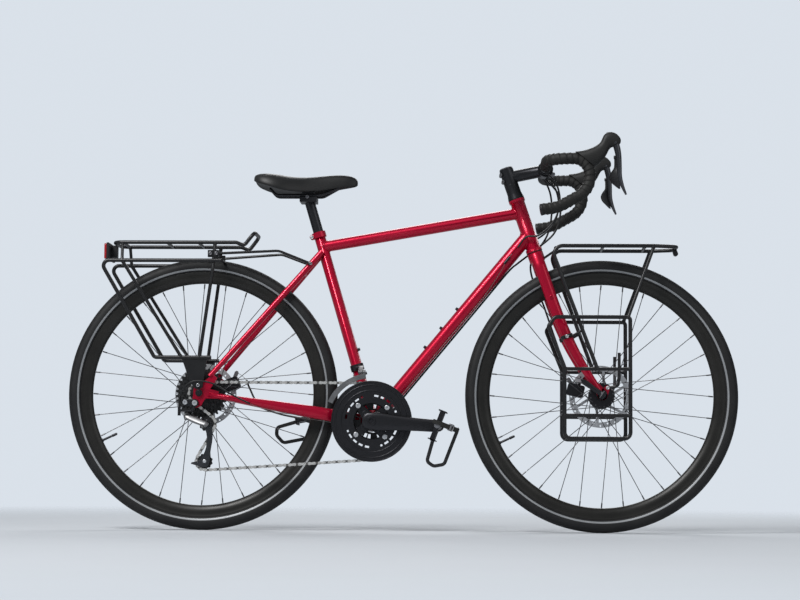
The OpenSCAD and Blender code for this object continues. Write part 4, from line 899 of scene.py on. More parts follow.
@dataclass(frozen=True)
class Layout:
    """Main points and directions of the bicycle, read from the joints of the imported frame."""

    rear_axle: Vector
    front_axle: Vector
    bracket: Vector
    head_low: Vector
    head_dir: Vector
    seat_dir: Vector
    lever_pivot: Vector
    pedal_right: Vector
    pedal_left: Vector
    guide: Vector
    tension: Vector
    seat_len: float = 508.0
    down_rise: float = 46.0
    rake_from: float = 260.0
    hood_to_pivot: Triple = (62.0, 0.0, 40.0)
    bar_reach: float = 105.0

    @classmethod
    def read(cls) -> "Layout":
        """Reads the layout from the frame.

        Returns:
            The layout.
        """
        joints = {j["name"]: j for j in frame["joints"]}
        pivots = {"rear_axle": "rear_wheel_spin", "front_axle": "front_wheel_spin", "bracket": "crank_spin",
                  "head_low": "steering_turn", "lever_pivot": "left_brake_pull",
                  "pedal_right": "right_pedal_spin", "pedal_left": "left_pedal_spin",
                  "guide": "guide_pulley_spin", "tension": "tension_pulley_spin"}
        points = {field: Vector(joints[name]["pos_m"]) / MM for field, name in pivots.items()}
        return cls(head_dir=Vector(joints["steering_turn"]["axis"]),
                   seat_dir=Vector(joints["seatpost_slide"]["axis"]), **points)

    @property
    def head_fwd(self) -> Vector:
        """Forward direction square to the head tube."""
        return at(self.head_dir.z, 0, -self.head_dir.x)

    @property
    def seat_fwd(self) -> Vector:
        """Forward direction square to the seat tube."""
        return at(self.seat_dir.z, 0, -self.seat_dir.x)

    @property
    def seat_top(self) -> Vector:
        """Top of the seat tube."""
        return self.bracket + self.seat_dir * self.seat_len

    @property
    def down_head(self) -> Vector:
        """Where the axis of the down tube meets the head tube."""
        return self.head_low + self.head_dir * self.down_rise

    @property
    def steer_foot(self) -> Vector:
        """Foot of the front axle on the steering axis."""
        gap = self.front_axle - self.head_low
        return self.head_low + self.head_dir * gap.dot(self.head_dir)

    def fork_line(self, s: float, y: float) -> Vector:
        """Point of a raked fork blade at a height above the axle's foot and a sideways place."""
        rake = (self.front_axle - self.steer_foot).length * max(0.0, 1 - s / self.rake_from) ** 2
        return self.steer_foot + self.head_dir * s + self.head_fwd * rake + at(0, y, 0)

    @property
    def hood(self) -> Vector:
        """Foot of the left lever hood on the bar."""
        return self.lever_pivot - at(*self.hood_to_pivot)

    @property
    def bar(self) -> Vector:
        """Middle of the handlebar in the stem."""
        return at(self.hood.x - self.bar_reach, 0, self.hood.z)


# Stage


@dataclass(frozen=True)
class Stage:
    """Camera, floor and soft studio light."""

    lens: float = 90.0
    sensor: float = 36.0
    camera_at: Triple = (0.2082, -5.1323, 0.1444)
    yaw: float = math.radians(-2.38101)
    pitch: float = math.radians(4.9919)
    roll: float = math.radians(0.4)
    floor_half: float = 4.2
    floor_solid: float = 1.3
    pale: Triple = (0.70, 0.755, 0.82)
    floor_colour: Triple = (0.50, 0.525, 0.555)
    mottle: float = 0.96
    sky_light: float = 0.34

    def build(self) -> None:
        """Sets up the whole stage."""
        bpy.context.scene.view_settings.view_transform = "Standard"
        self.camera()
        self.floor()
        self.world()
        self.lamp("key_light", (-2.4, -3.0, 4.4), (0.0, 0.0, 0.5), size=2.0, power=270.0)
        self.lamp("fill_light", (3.4, -3.0, 2.2), (0.2, 0.0, 0.5), size=2.6, power=26.0)
        self.lamp("rim_light", (0.5, 3.6, 3.4), (0.0, 0.0, 0.6), size=3.0, power=110.0)

    def camera(self) -> None:
        """Camera at the photograph's viewing angle."""
        data = bpy.data.cameras.new("camera")
        data.lens, data.sensor_width = self.lens, self.sensor
        camera = add_object("camera", data)
        ahead = Vector((math.sin(self.yaw) * math.cos(self.pitch),
                        math.cos(self.yaw) * math.cos(self.pitch), math.sin(self.pitch)))
        level = Vector((math.cos(self.yaw), -math.sin(self.yaw), 0))
        upright = level.cross(ahead)
        right = level * math.cos(self.roll) + upright * math.sin(self.roll)
        up = upright * math.cos(self.roll) - level * math.sin(self.roll)
        turn = Matrix((right, up, -ahead)).transposed().to_4x4()
        camera.matrix_world = Matrix.Translation(self.camera_at) @ turn
        bpy.context.scene.camera = camera

    def floor(self) -> None:
        """Pale floor with a faint mottle that passes into the background away from the object."""
        h = self.floor_half
        mesh = bpy.data.meshes.new("floor")
        mesh.from_pydata([(-h, -h, 0), (h, -h, 0), (h, h, 0), (-h, h, 0)], [], [(0, 1, 2, 3)])
        paint = bpy.data.materials.new("floor_paint")
        paint.use_nodes = True
        tree = paint.node_tree
        shader = tree.nodes["Principled BSDF"]
        where = add_node(tree, "ShaderNodeTexCoord").outputs["Object"]
        cloud = add_node(tree, "ShaderNodeTexNoise", {"Vector": where, "Scale": 3.0})
        darker = [c * self.mottle for c in self.floor_colour]
        mix = add_node(tree, "ShaderNodeMix", {
            "A": (*self.floor_colour, 1), "B": (*darker, 1), "Factor": cloud.outputs["Fac"]},
            data_type="RGBA")
        set_inputs(tree, shader, {"Roughness": 0.8, "Base Color": mix.outputs["Result"]})
        reach = add_node(tree, "ShaderNodeVectorMath", {0: where}, operation="LENGTH")
        span = add_node(tree, "ShaderNodeMapRange", {
            "Value": reach.outputs["Value"], "From Min": self.floor_solid, "From Max": h - 0.1},
            interpolation_type="SMOOTHSTEP")
        clear = add_node(tree, "ShaderNodeBsdfTransparent")
        blend = add_node(tree, "ShaderNodeMixShader", {
            "Fac": span.outputs["Result"], 1: shader.outputs["BSDF"], 2: clear.outputs["BSDF"]})
        set_inputs(tree, tree.nodes["Material Output"], {"Surface": blend.outputs["Shader"]})
        mesh.materials.append(paint)
        floor = add_object("floor", mesh)

    def world(self) -> None:
        """Pale background that lights the object at a plain level."""
        world = bpy.data.worlds.new("studio")
        bpy.context.scene.world = world
        world.use_nodes = True
        tree = world.node_tree
        shown = tree.nodes["Background"]
        set_inputs(tree, shown, {"Color": (*self.pale, 1)})
        light = add_node(tree, "ShaderNodeBackground",
                         {"Color": (*self.pale, 1), "Strength": self.sky_light})
        ray = add_node(tree, "ShaderNodeLightPath")
        mix = add_node(tree, "ShaderNodeMixShader", {
            "Fac": ray.outputs["Is Camera Ray"], 1: light.outputs["Background"],
            2: shown.outputs["Background"]})
        set_inputs(tree, tree.nodes["World Output"], {"Surface": mix.outputs["Shader"]})

    @staticmethod
    def lamp(name: str, where: Triple, aim: Triple, size: float, power: float) -> None:
        """Soft square lamp.

        Args:
            name: Its name.
            where: Its place in metres.
            aim: Point that it looks at.
            size: Its width in metres.
            power: Its power in watts.
        """
        data = bpy.data.lights.new(name, "AREA")
        data.size, data.energy = size, power
        lamp = add_object(name, data)
        lamp.location = where
        lamp.rotation_euler = (Vector(aim) - Vector(where)).to_track_quat("-Z", "Y").to_euler()


# Wheels


@dataclass(frozen=True)
class Wheel:
    """One wheel: tyre with tread and stripe, rim, valve, spokes, hub and brake rotor."""

    name: str
    centre: Vector
    tyre_r: float = 348.0
    tyre_half: float = 19.0
    rim_r: float = 316.0
    rim_in: float = 285.0
    rim_half: float = 12.0
    stripe_r: float = 321.5
    stripe_half: float = 2.2
    grooves: Pair = (math.radians(13), math.radians(29))
    groove_half: float = math.radians(1.3)
    groove_depth: float = 0.9
    tread_blocks: int = 104
    steps: int = 160
    valve_len: float = 42.0
    valve_turn: float = math.radians(205)

    @property
    def body(self) -> str:
        """CAD body of the wheel."""
        return f"{self.name}_wheel"

    @property
    def section_r(self) -> float:
        """Radius of the circle through the middle of the tyre's section."""
        return self.tyre_r - self.tyre_half

    def build(self) -> None:
        """Builds the wheel's pieces and dresses its CAD nodes."""
        self.tyre()
        self.stripe()
        self.tread()
        self.rim()
        self.valve()
        dress_node(f"{self.name}_spokes", SPOKE_STEEL)
        dress_node(f"{self.name}_hub", BLACK_ALLOY, 0.5)
        dress_node(f"{self.name}_rotor", BRIGHT_STEEL, 0.15)

    def on_section(self, angle: float, lift: float = 0.0) -> Pair:
        """Radius and sideways place on the tyre's section; angle 0 is the crown."""
        r = self.tyre_half + lift
        return self.section_r + r * math.cos(angle), r * math.sin(angle)

    def tyre(self) -> None:
        """Tyre with circumferential grooves in its tread."""
        bead = math.acos((self.rim_r - self.section_r) / self.tyre_half)
        stretches = 96
        angles = [bead * (2 * k / stretches - 1) for k in range(stretches + 1)]
        profile = []
        for g in angles:
            grooved = any(abs(abs(g) - groove) < self.groove_half for groove in self.grooves)
            profile.append(self.on_section(g, -self.groove_depth if grooved else 0.0))
        inner = self.rim_r - 1.5
        profile += [(inner, self.rim_half - 1), (inner, 1 - self.rim_half)]
        shape = Shape()
        shape.lathe(profile, self.centre, self.steps)
        shape.piece(f"{self.name}_tyre_rubber", TYRE_RUBBER, self.body, [f"{self.name}_tyre"], sharp=24)

    def stripe(self) -> None:
        """Pale reflective stripe on both sidewalls."""
        shape = Shape()
        for way in (1, -1):
            low = math.acos((self.stripe_r - self.stripe_half - self.section_r) / self.tyre_half)
            high = math.acos((self.stripe_r + self.stripe_half - self.section_r) / self.tyre_half)
            angles = [low + (high - low) * k / 4 for k in range(5)]
            outer = [self.on_section(g, 0.22) for g in angles]
            under = [self.on_section(g, -0.3) for g in reversed(angles)]
            shape.lathe([(r, way * y) for r, y in outer + under], self.centre, self.steps)
        shape.piece(f"{self.name}_tyre_stripe", STRIPE, self.body)

    def tread(self) -> None:
        """Low slanted blocks on both shoulders of the tread."""
        shape = Shape()
        slant, width = math.radians(2.0), math.radians(1.5)
        spans = [(math.radians(a), math.radians(b)) for a, b in ((33, 44), (46, 58))]
        for way in (1, -1):
            for low, high in spans:
                rings = []
                for lift in (-0.4, 0.45):
                    ring = []
                    for g, turn in ((low, 0.0), (low, width), (high, width + slant), (high, slant)):
                        r, y = self.on_section(g, lift)
                        lead = turn if way > 0 else turn + math.pi / self.tread_blocks
                        ring.append(on_wheel(r, way * y, lead))
                    rings.append(ring)
                shape.skin(rings)
        Repeat.round_axle(f"{self.name}_tyre_tread", shape, self.tread_blocks, self.centre, TYRE_RUBBER,
                          self.body)

    def rim(self) -> None:
        """Deep rim with rounded shoulders."""
        w, low, top = self.rim_half, self.rim_in, self.rim_r
        half = [(low, 0.0), (low + 0.6, 3.2), (low + 2.4, 5.4), (low + 7, 8.6), (low + 13, 11.2),
                (low + 19, w), (top - 4, w), (top - 3, w + 0.6), (top - 1.2, w + 0.6), (top, w - 0.4),
                (top, w - 2.5), (top - 5, w - 2.6)]
        profile = half + [(r, -y) for r, y in reversed(half[1:])]
        shape = Shape()
        shape.lathe(profile, self.centre, self.steps)
        shape.piece(f"{self.name}_rim_alloy", RIM_BLACK, self.body, [f"{self.name}_rim"], sharp=40)

    def valve(self) -> None:
        """Slim valve with its nut and cap."""
        inward = at(-math.cos(self.valve_turn), 0, -math.sin(self.valve_turn))
        seat = self.centre - inward * (self.rim_in + 0.5)
        profile = [(0, 4.6), (2.2, 4.6), (2.4, 3.0), (24, 3.0), (24.4, 2.5), (self.valve_len - 15, 2.5),
                   (self.valve_len - 14.6, 3.6), (self.valve_len - 2, 3.2), (self.valve_len, 1.6)]
        shape = Shape()
        shape.turned_rod(seat, inward, profile, 16)
        shape.piece(f"{self.name}_valve", BLACK_ALLOY, self.body)


# Painted frame


@dataclass(frozen=True)
class Frame:
    """Painted tubes of the frame and fork with their weld beads and bolts."""

    layout: Layout
    head_len: float = 143.0
    top_drop: float = 38.0
    top_head_drop: float = 37.0
    tube_r: float = 14.3
    down_r: float = 17.45
    head_r: float = 18.5
    shell_r: float = 20.5
    bead: float = 2.1

    def build(self) -> None:
        """Dresses the painted nodes and lays the beads."""
        for node in ("head_tube", "top_tube", "down_tube", "seat_tube", "seat_stays", "seat_collar"):
            dress_node(node, RED_PAINT, flatten=False)
        dress_node("rear_dropouts", RED_PAINT, 1.0)
        dress_node("chain_stays", RED_PAINT, sharp=50.0, flatten=False)
        self.fork()
        for node, round_off in (("frame_bolts", 0.4), ("bearing_cups", 0.4), ("headset_spacers", 0.5),
                                ("rear_axle", 0.5), ("front_axle", 0.5)):
            dress_node(node, BLACK_ALLOY, round_off)
        dress_node("front_axle_lever", BLACK_ALLOY, sharp=50.0)
        self.welds()

    def fork(self) -> None:
        """Steerer, crown, two raked blades with bosses, and the tips that hold the axle."""
        lay = self.layout
        spans = ((396, 25, 10, 15.5), (376, 31.5, 10, 15.5), (356, 36, 10, 15.5), (310, 38.5, 10, 15.3),
                 (266, 41, 10, 15), (204, 46, 9.6, 14.4), (144, 49.5, 9, 13), (82, 52, 8, 10.8),
                 (20, 53, 6, 8.6), (8, 53, 4.6, 7.6))
        boss = [(0, 4.6), (14, 4.6), (14.6, 4), (14.6, 2.5), (8, 2.5)]
        half = Shape()
        half.limb([lay.fork_line(s, y) for s, y, *_ in spans], [span[2:] for span in spans], 5, 32)
        half.turned_rod(lay.fork_line(278, 38), ACROSS, boss, 20)
        for end, radius in (((-13, 22), 9), ((12, 18), 7)):
            half.plate(round_bar((0, 0), end, 13, radius), 50, 56, lay.front_axle)
        shape = half.paired()
        crown = [(377, 15), (378.2, 19), (382, 20.4), (401, 20.5), (403, 20), (403.5, 14.3), (627, 14.3)]
        shape.turned_rod(lay.steer_foot, lay.head_dir, crown, 40)
        shape.piece("fork_painted", RED_PAINT, "steering", ["fork"], sharp=48)

    def welds(self) -> None:
        """Smooth beads where the main tubes meet."""
        lay = self.layout
        head_high = lay.head_low + lay.head_dir * self.head_len
        top_seat = lay.seat_top - lay.seat_dir * self.top_drop
        top_head = head_high - lay.head_dir * self.top_head_drop
        along_top = (top_head - top_seat).normalized()
        along_down = (lay.down_head - lay.bracket).normalized()
        shape = Shape()
        for start, way, radius, axis, onto_r in (
                (top_seat, along_top, self.tube_r, lay.seat_dir, self.tube_r),
                (top_head, -along_top, self.tube_r, lay.head_dir, self.head_r),
                (lay.down_head, -along_down, self.down_r, lay.head_dir, self.head_r),
                (lay.bracket, along_down, self.down_r, ACROSS, self.shell_r),
                (lay.bracket, lay.seat_dir, self.tube_r, ACROSS, self.shell_r)):
            path = self.meeting_line(start, way, radius, axis, onto_r)
            shape.tube(path, self.bead, 10, True, way)
        shape.piece("weld_beads", RED_PAINT, "frame", sharp=60)

    @staticmethod
    def meeting_line(start: Vector, way: Vector, radius: float, axis: Vector, onto_r: float,
                     steps: int = 56) -> Points:
        """Line where a round tube meets the outside of another.

        Args:
            start: Point where both axes meet.
            way: Direction of the tube away from the other.
            radius: Radius of the tube.
            axis: Direction of the other tube.
            onto_r: Radius of the other tube.
            steps: Points of the line.

        Returns:
            The points of the closed line.
        """
        side = way.orthogonal().normalized()
        up = way.cross(side)
        slope = way - axis * way.dot(axis)
        line = []
        for foot in oval(start, side * radius, up * radius, steps):
            gap = foot - start
            gap = gap - axis * gap.dot(axis)
            a, b = slope.dot(slope), 2 * gap.dot(slope)
            c = gap.dot(gap) - onto_r * onto_r
            s = (math.sqrt(max(b * b - 4 * a * c, 0.0)) - b) / (2 * a)
            line.append(foot + way * s)
        return line


# Drivetrain


@dataclass(frozen=True)
class Drivetrain:
    """Roller chain, sprockets, cranks and chain guard."""

    layout: Layout
    pitch: float = 12.7
    line_y: float = CHAIN_LINE
    ring_teeth: int = 48
    cog_teeth: int = 14
    pulley_teeth: int = 11
    plate_t: float = 0.8
    outer_y: float = 3.1
    inner_y: float = 2.1
    guard_y: Pair = (-59.6, -57.1)
    guard_radii: tuple[float, ...] = (46.0, 63.0, 68.6, 102.6)
    guard_steps: int = 144
    lip: float = 1.3
    bolt_circle: float = 52.0
    spider_turn: float = math.radians(41)
    arm_len: float = 170.0
    arm_y: float = 72.2

    def build(self) -> None:
        """Builds chain, guard, rings and cranks and dresses the cassette."""
        self.chain()
        self.guard()
        self.ring_bolts()
        dress_node("cassette", CASSETTE_STEEL, 0.12)
        self.chainrings()
        self.crank("right", self.layout.pedal_right, -1)
        self.crank("left", self.layout.pedal_left, 1)
        self.spider()

    def crank(self, side: str, pedal: Vector, way: int) -> None:
        """Forged crank arm that tapers from the spindle to the pedal, with the pedal's spindle.

        Args:
            side: Side of the bicycle.
            pedal: Point of the pedal's axis.
            way: 1 on the left and -1 on the right.
        """
        hub, out = self.layout.bracket, at(0, way, 0)
        along = at(pedal.x - hub.x, 0, pedal.z - hub.z)
        scale = along.length / self.arm_len
        along.normalize()
        up = at(-along.z, 0, along.x)
        spans = ((-23, 8, 5), (-20, 15, 6.4), (-11, 21, 7.2), (4, 22, 7.6), (22, 23, 7.6), (45, 20.6, 7.2),
                 (80, 18, 6.8), (120, 16.4, 6.6), (150, 15.8, 6.8), (165, 15.4, 6.9), (176, 13, 6.6),
                 (182, 8.6, 5.6), (184.5, 3, 4.5))
        shape = Shape()
        arm = hub + out * self.arm_y
        shape.skin([oval(arm + along * s * scale, up * high, at(0, deep, 0), 24, (0.72, 0.62))
                    for s, high, deep in spans])
        shape.turned_rod(hub + out * 42.6, out, [(0, 20), (20, 20), (26, 18)], 32)
        shape.piece(f"{side}_crank_arm", BLACK_ALLOY, "crank", ["crank_arms"], sharp=48)
        cap = [(0, 12), (4.2, 12), (5.4, 10.6), (5.4, 6.4), (3, 5.6)]
        spindle = [(0, 6), (1, 7), (14.6, 7), (15, 8), (20.2, 8), (20.6, 5), (104, 5)]
        steel = Shape()
        steel.turned_rod(hub + out * 77, out, cap, 28, 1)
        steel.turned_rod(pedal + out * 64.6, out, spindle, 24)
        steel.piece(f"{side}_spindle_ends", [DARK_STEEL, BLACK_ALLOY], "crank", sharp=30)

    def spider(self) -> None:
        """Four tapered arms that carry the chainrings."""
        shape = Shape()
        for k in range(4):
            turn = self.spider_turn + k * math.pi / 2
            tip = on_circle((0.0, 0.0), self.bolt_circle, turn)
            shape.plate(round_bar((0.0, 0.0), tip, 17, 8.4), -52.2, -46.9, self.layout.bracket)
            root = on_circle((0.0, 0.0), 24, turn)
            shape.plate(round_bar((0.0, 0.0), root, 15, 9), -66, -52.2, self.layout.bracket)
        shape.turned_rod(self.layout.bracket + at(0, -79, 0), ACROSS, [(0, 11.9), (158, 11.9)], 28)
        shape.piece("chainring_spider", BLACK_ALLOY, "crank", round_off=0.8)

    def pitch_r(self, teeth: int) -> float:
        """Pitch radius of a sprocket."""
        return self.pitch / (2 * math.sin(math.pi / teeth))

    def pins(self) -> Points:
        """Pins of the chain, one after the other, from where it leaves the chainring.

        Returns:
            The pins, with the first again at the end.
        """
        lay = self.layout
        wheels = [(lay.bracket, self.pitch_r(self.ring_teeth), -1),
                  (lay.tension, self.pitch_r(self.pulley_teeth), -1),
                  (lay.guide, self.pitch_r(self.pulley_teeth), 1),
                  (lay.rear_axle, self.pitch_r(self.cog_teeth), -1)]
        spans = list(zip(wheels, wheels[1:] + wheels[:1]))
        angles = []
        for (a, ra, sa), (b, rb, sb) in spans:
            gap = b - a
            lean = math.asin((sb * rb - sa * ra) / math.hypot(gap.x, gap.z))
            angles.append(math.atan2(gap.z, gap.x) - lean)
        path, steps, quarter = [], 40, math.pi / 2
        for ((a, ra, sa), (b, rb, sb)), here, after in zip(spans, angles, angles[1:] + angles[:1]):
            path.append(a + on_wheel(ra, self.line_y, here - sa * quarter))
            sweep = sb * ((sb * (after - here)) % (2 * math.pi))
            path += [b + on_wheel(rb, self.line_y, here - sb * quarter + sweep * k / steps)
                     for k in range(steps)]
        path.append(path[0])
        total = sum((b - a).length for a, b in zip(path, path[1:]))
        links = 2 * round(total / self.pitch / 2)
        return even_path(path, total / links)

    def chain(self) -> None:
        """Chain of outer and inner links with pins and rollers."""
        pins = self.pins()
        places, turns = [], []
        for a, b in zip(pins, pins[1:]):
            places.append((a + b) / 2)
            turns.append(at(0, -math.atan2(b.z - a.z, b.x - a.x), 0))
        outer, inner = Shape(), Shape()
        for way in (1, -1):
            for link, edge, radius in ((outer, way * self.outer_y, 4.0), (inner, way * self.inner_y, 4.2)):
                link.plate(self.link_outline(radius), edge - way * self.plate_t, edge)
            pin = at(way * self.pitch / 2, 0, 0)
            outer.turned_rod(pin - at(0, 3.4, 0), ACROSS, [(0, 1.8), (6.8, 1.8)], 8)
            inner.turned_rod(pin - at(0, 1.3, 0), ACROSS, [(0, 3.9), (2.6, 3.9)], 10)
        Repeat.on_points("chain_outer_links", outer, places[::2], turns[::2], CHAIN_STEEL, "frame",
                         ["chain"], 30.0)
        Repeat.on_points("chain_inner_links", inner, places[1::2], turns[1::2], LINK_STEEL, "frame",
                         sharp=30.0)

    def link_outline(self, radius: float) -> list[Pair]:
        """Waisted outline of a chain plate.

        Args:
            radius: Radius of its ends.

        Returns:
            The points of the outline.
        """
        half, waist = self.pitch / 2, 0.68 * radius
        turns = [math.radians(g) for g in (-112, -68, -24, 24, 68, 112)]
        front = [on_circle((half, 0.0), radius, g) for g in turns]
        back = [on_circle((-half, 0.0), radius, math.pi + g) for g in turns]
        return [*front, (0.0, waist), *back, (0.0, -waist)]

    def guard(self) -> None:
        """Chain guard with a row of slots, two ridges and a raised lip."""
        shape = Shape()
        shape.polar_plate(self.guard_radii, self.guard_steps, self.guard_y, self.layout.bracket, self.solid)
        low, high = self.guard_y
        rim, crest, lip = self.guard_radii[-1], low - 1.1, low - self.lip
        for r in (76, 90):
            ridge = [(r, high), (r, low), (r + 1.2, crest), (r + 3, crest), (r + 4.2, low), (r + 4.2, high)]
            shape.lathe(ridge, self.layout.bracket, self.guard_steps)
        edge = [(rim - 2.6, lip), (rim - 0.6, lip), (rim + 0.3, low), (rim + 0.3, high), (rim - 2.6, high)]
        shape.lathe(edge, self.layout.bracket, self.guard_steps)
        shape.piece("chain_guard_plate", BLACK_ALLOY, "crank", ["chain_guard"], round_off=0.3)

    @staticmethod
    def solid(band: int, k: int) -> bool:
        """Whether a band and sector of a ring are solid; the slots lie between the spider's arms."""
        return band != 1 or (k + 2) % 36 <= 9 or k % 6 >= 4

    def chainrings(self) -> None:
        """Three slotted rings with teeth."""
        rings = (("big", self.ring_teeth, self.line_y, (46.0, 63.0, 68.6, 90.6), 94.4),
                 ("middle", 36, -45.8, (46.0, 63.0, 68.0, 69.6), 75.6),
                 ("small", 26, -38.3, (29.0, 33.0, 43.5, 49.2), 55.0))
        for name, teeth, y, radii, tip in rings:
            shape = Shape()
            shape.polar_plate(radii, self.guard_steps, (y - 1, y + 1), self.layout.bracket, self.solid)
            shape.piece(f"{name}_chainring", COG_STEEL, "crank", ["chainrings"] if name == "big" else ())
            root, step = radii[-1] - 0.4, math.pi / teeth
            outline = [on_circle((0.0, 0.0), r, g * step) for r, g in
                       ((root, -0.62), (root, 0.62), (tip, 0.26), (tip, -0.26))]
            tooth = Shape()
            tooth.plate(outline, y - 0.9, y + 0.9)
            Repeat.round_axle(f"{name}_chainring_teeth", tooth, teeth, self.layout.bracket, COG_STEEL,
                              "crank")

    def ring_bolts(self) -> None:
        """Bright heads of the chainring bolts with their sockets."""
        face = self.guard_y[0]
        shape = Shape()
        shape.turned_rod(at(self.bolt_circle, face, 0), -ACROSS,
                         [(0, 6.4), (1.6, 6.4), (2.3, 5.4), (2.3, 3.0), (0.8, 2.8)], 20)
        Repeat.round_axle("chainring_bolts", shape, 4, self.layout.bracket, BRIGHT_STEEL, "crank",
                          -self.spider_turn)


@dataclass(frozen=True)
class Pedal:
    """Cage pedal with toe clip, strap and buckle, drawn for the left side around its spindle."""

    side: str
    centre: Vector
    tilt: float
    inner: float = 86.0
    width: float = 88.0
    half: float = 39.0
    high: float = 11.0
    wall: float = 2.6
    tooth: float = 2.4
    teeth: int = 15

    @property
    def body(self) -> str:
        """CAD body of the pedal."""
        return f"{self.side}_pedal"

    @property
    def mid(self) -> float:
        """Middle of the pedal's width."""
        return self.inner + self.width / 2

    def placed(self, shape: Shape) -> Shape:
        """Turns a shape that is drawn for the left side to the tilt and moves it to the spindle."""
        way, c, s = 1 if self.side == "left" else -1, math.cos(self.tilt), math.sin(self.tilt)
        return shape.move(lambda p: self.centre + at(p.x * c + p.z * s, way * p.y, p.z * c - p.x * s))

    def build(self) -> None:
        """Builds the cage, the clip, the strap and the rivets."""
        self.cage()
        self.clip()
        self.strap()
        self.rivets()

    def cage(self) -> None:
        """Barrel, web and toothed cage plates."""
        shape = Shape()
        far = self.inner + self.width
        step = self.width / self.teeth
        crown = [(self.inner + step * (k + f), self.high - self.tooth * d)
                 for k in range(self.teeth) for f, d in ((0.1, 1), (0.35, 0), (0.65, 0), (0.9, 1))]
        outline = [(self.inner, self.high - 3), *crown, (far, self.high - 3), (far, 3 - self.high),
                   *[(y, -z) for y, z in reversed(crown)], (self.inner, 3 - self.high)]
        for way in (1, -1):
            rings = [[at(way * x, y, z) for y, z in outline] for x in (self.half - self.wall, self.half)]
            shape.skin(rings)
        for y in (self.inner, far - self.wall):
            shape.block(at(-self.half, y, -6), at(self.half, y + self.wall, 6))
        shape.block(at(-self.half, self.mid - 12, -5), at(self.half, self.mid + 12, 5))
        barrel = [(0, 9.5), (4, 10.2), (8, 9), (26, 8.4), (62, 8.4), (78, 9), (82, 10.2), (self.width, 9.6)]
        shape.turned_rod(at(0, self.inner, 0), ACROSS, barrel, 28)
        self.placed(shape).piece(f"{self.side}_pedal_cage", BLACK_ALLOY, self.body, [self.body],
                                 round_off=0.4)

    def clip(self) -> None:
        """Toe clip bent from flat bar, in two prongs that meet over the toe."""
        line = [at(self.half + 0.4, 0, 2), at(93, 0, 7), at(98, 0, 27), at(84, 0, 50), at(-8, 0, 50)]
        path = bent_path(line, [11, 14, 12])
        shape = Shape()
        for way in (1, -1):
            ribs = [p + at(0, self.mid + way * (2.6 + 6 * min(1.0, abs(p.x - 98) / 60)), 0) for p in path]
            shape.strip(ribs, 3.2, 4.3, ACROSS)
        shape.block(at(-14, self.mid - 13, 48.4), at(2, self.mid + 13, 51.2))
        shape.block(at(self.half, self.mid - 14, -5), at(self.half + 1.8, self.mid + 14, 7))
        self.placed(shape).piece(f"{self.side}_toe_clip", BLACK_PLASTIC, self.body, round_off=1.2)

    def strap(self) -> None:
        """Webbing strap through the cage and over the clip, with its buckle."""
        middle = at(-6.5, self.mid, 0)
        corners = near(middle, (0, -44, 0), (0, -44, 52.5), (0, 44, 52.5), (0, 44, 0))
        tail = near(middle, (0, 46.2, 40), (0, 48.5, 22), (0, 50, 2), (0, 47, -14))
        shape = Shape()
        shape.strip(bent_loop(corners, [4, 13, 13, 4]), 5.5, 1.0, FORWARD, True)
        shape.strip(smooth_path(tail, 4), 5.0, 0.8, FORWARD)
        self.placed(shape).piece(f"{self.side}_toe_strap", TAPE_CORK, self.body)
        buckle = Shape()
        corners = near(middle, (-7.5, 46.4, 26), (-7.5, 46.4, 40), (7.5, 46.4, 40), (7.5, 46.4, 26))
        buckle.tube(bent_loop(corners, [3] * 4, 4), 1.5, 8, True, ACROSS)
        buckle.turned_rod(at(-15, self.mid + 47.5, 33), FORWARD, [(0, 2.6), (17, 2.6)], 12)
        self.placed(buckle).piece(f"{self.side}_strap_buckle", DARK_STEEL, self.body)

    def rivets(self) -> None:
        """Spindle cap and the screws that hold the clip."""
        shape = Shape()
        far = self.inner + self.width
        shape.turned_rod(at(0, far, 0), ACROSS, [(0, 8), (1.4, 8), (2.2, 6.6), (2.2, 0.5)], 24)
        for way in (1, -1):
            shape.turned_rod(at(self.half + 1.8, self.mid + way * 10, 0), FORWARD,
                             [(0, 3), (1.2, 2.8), (1.8, 1.6)], 12)
        self.placed(shape).piece(f"{self.side}_pedal_caps", DARK_STEEL, self.body)


# Handlebar and controls


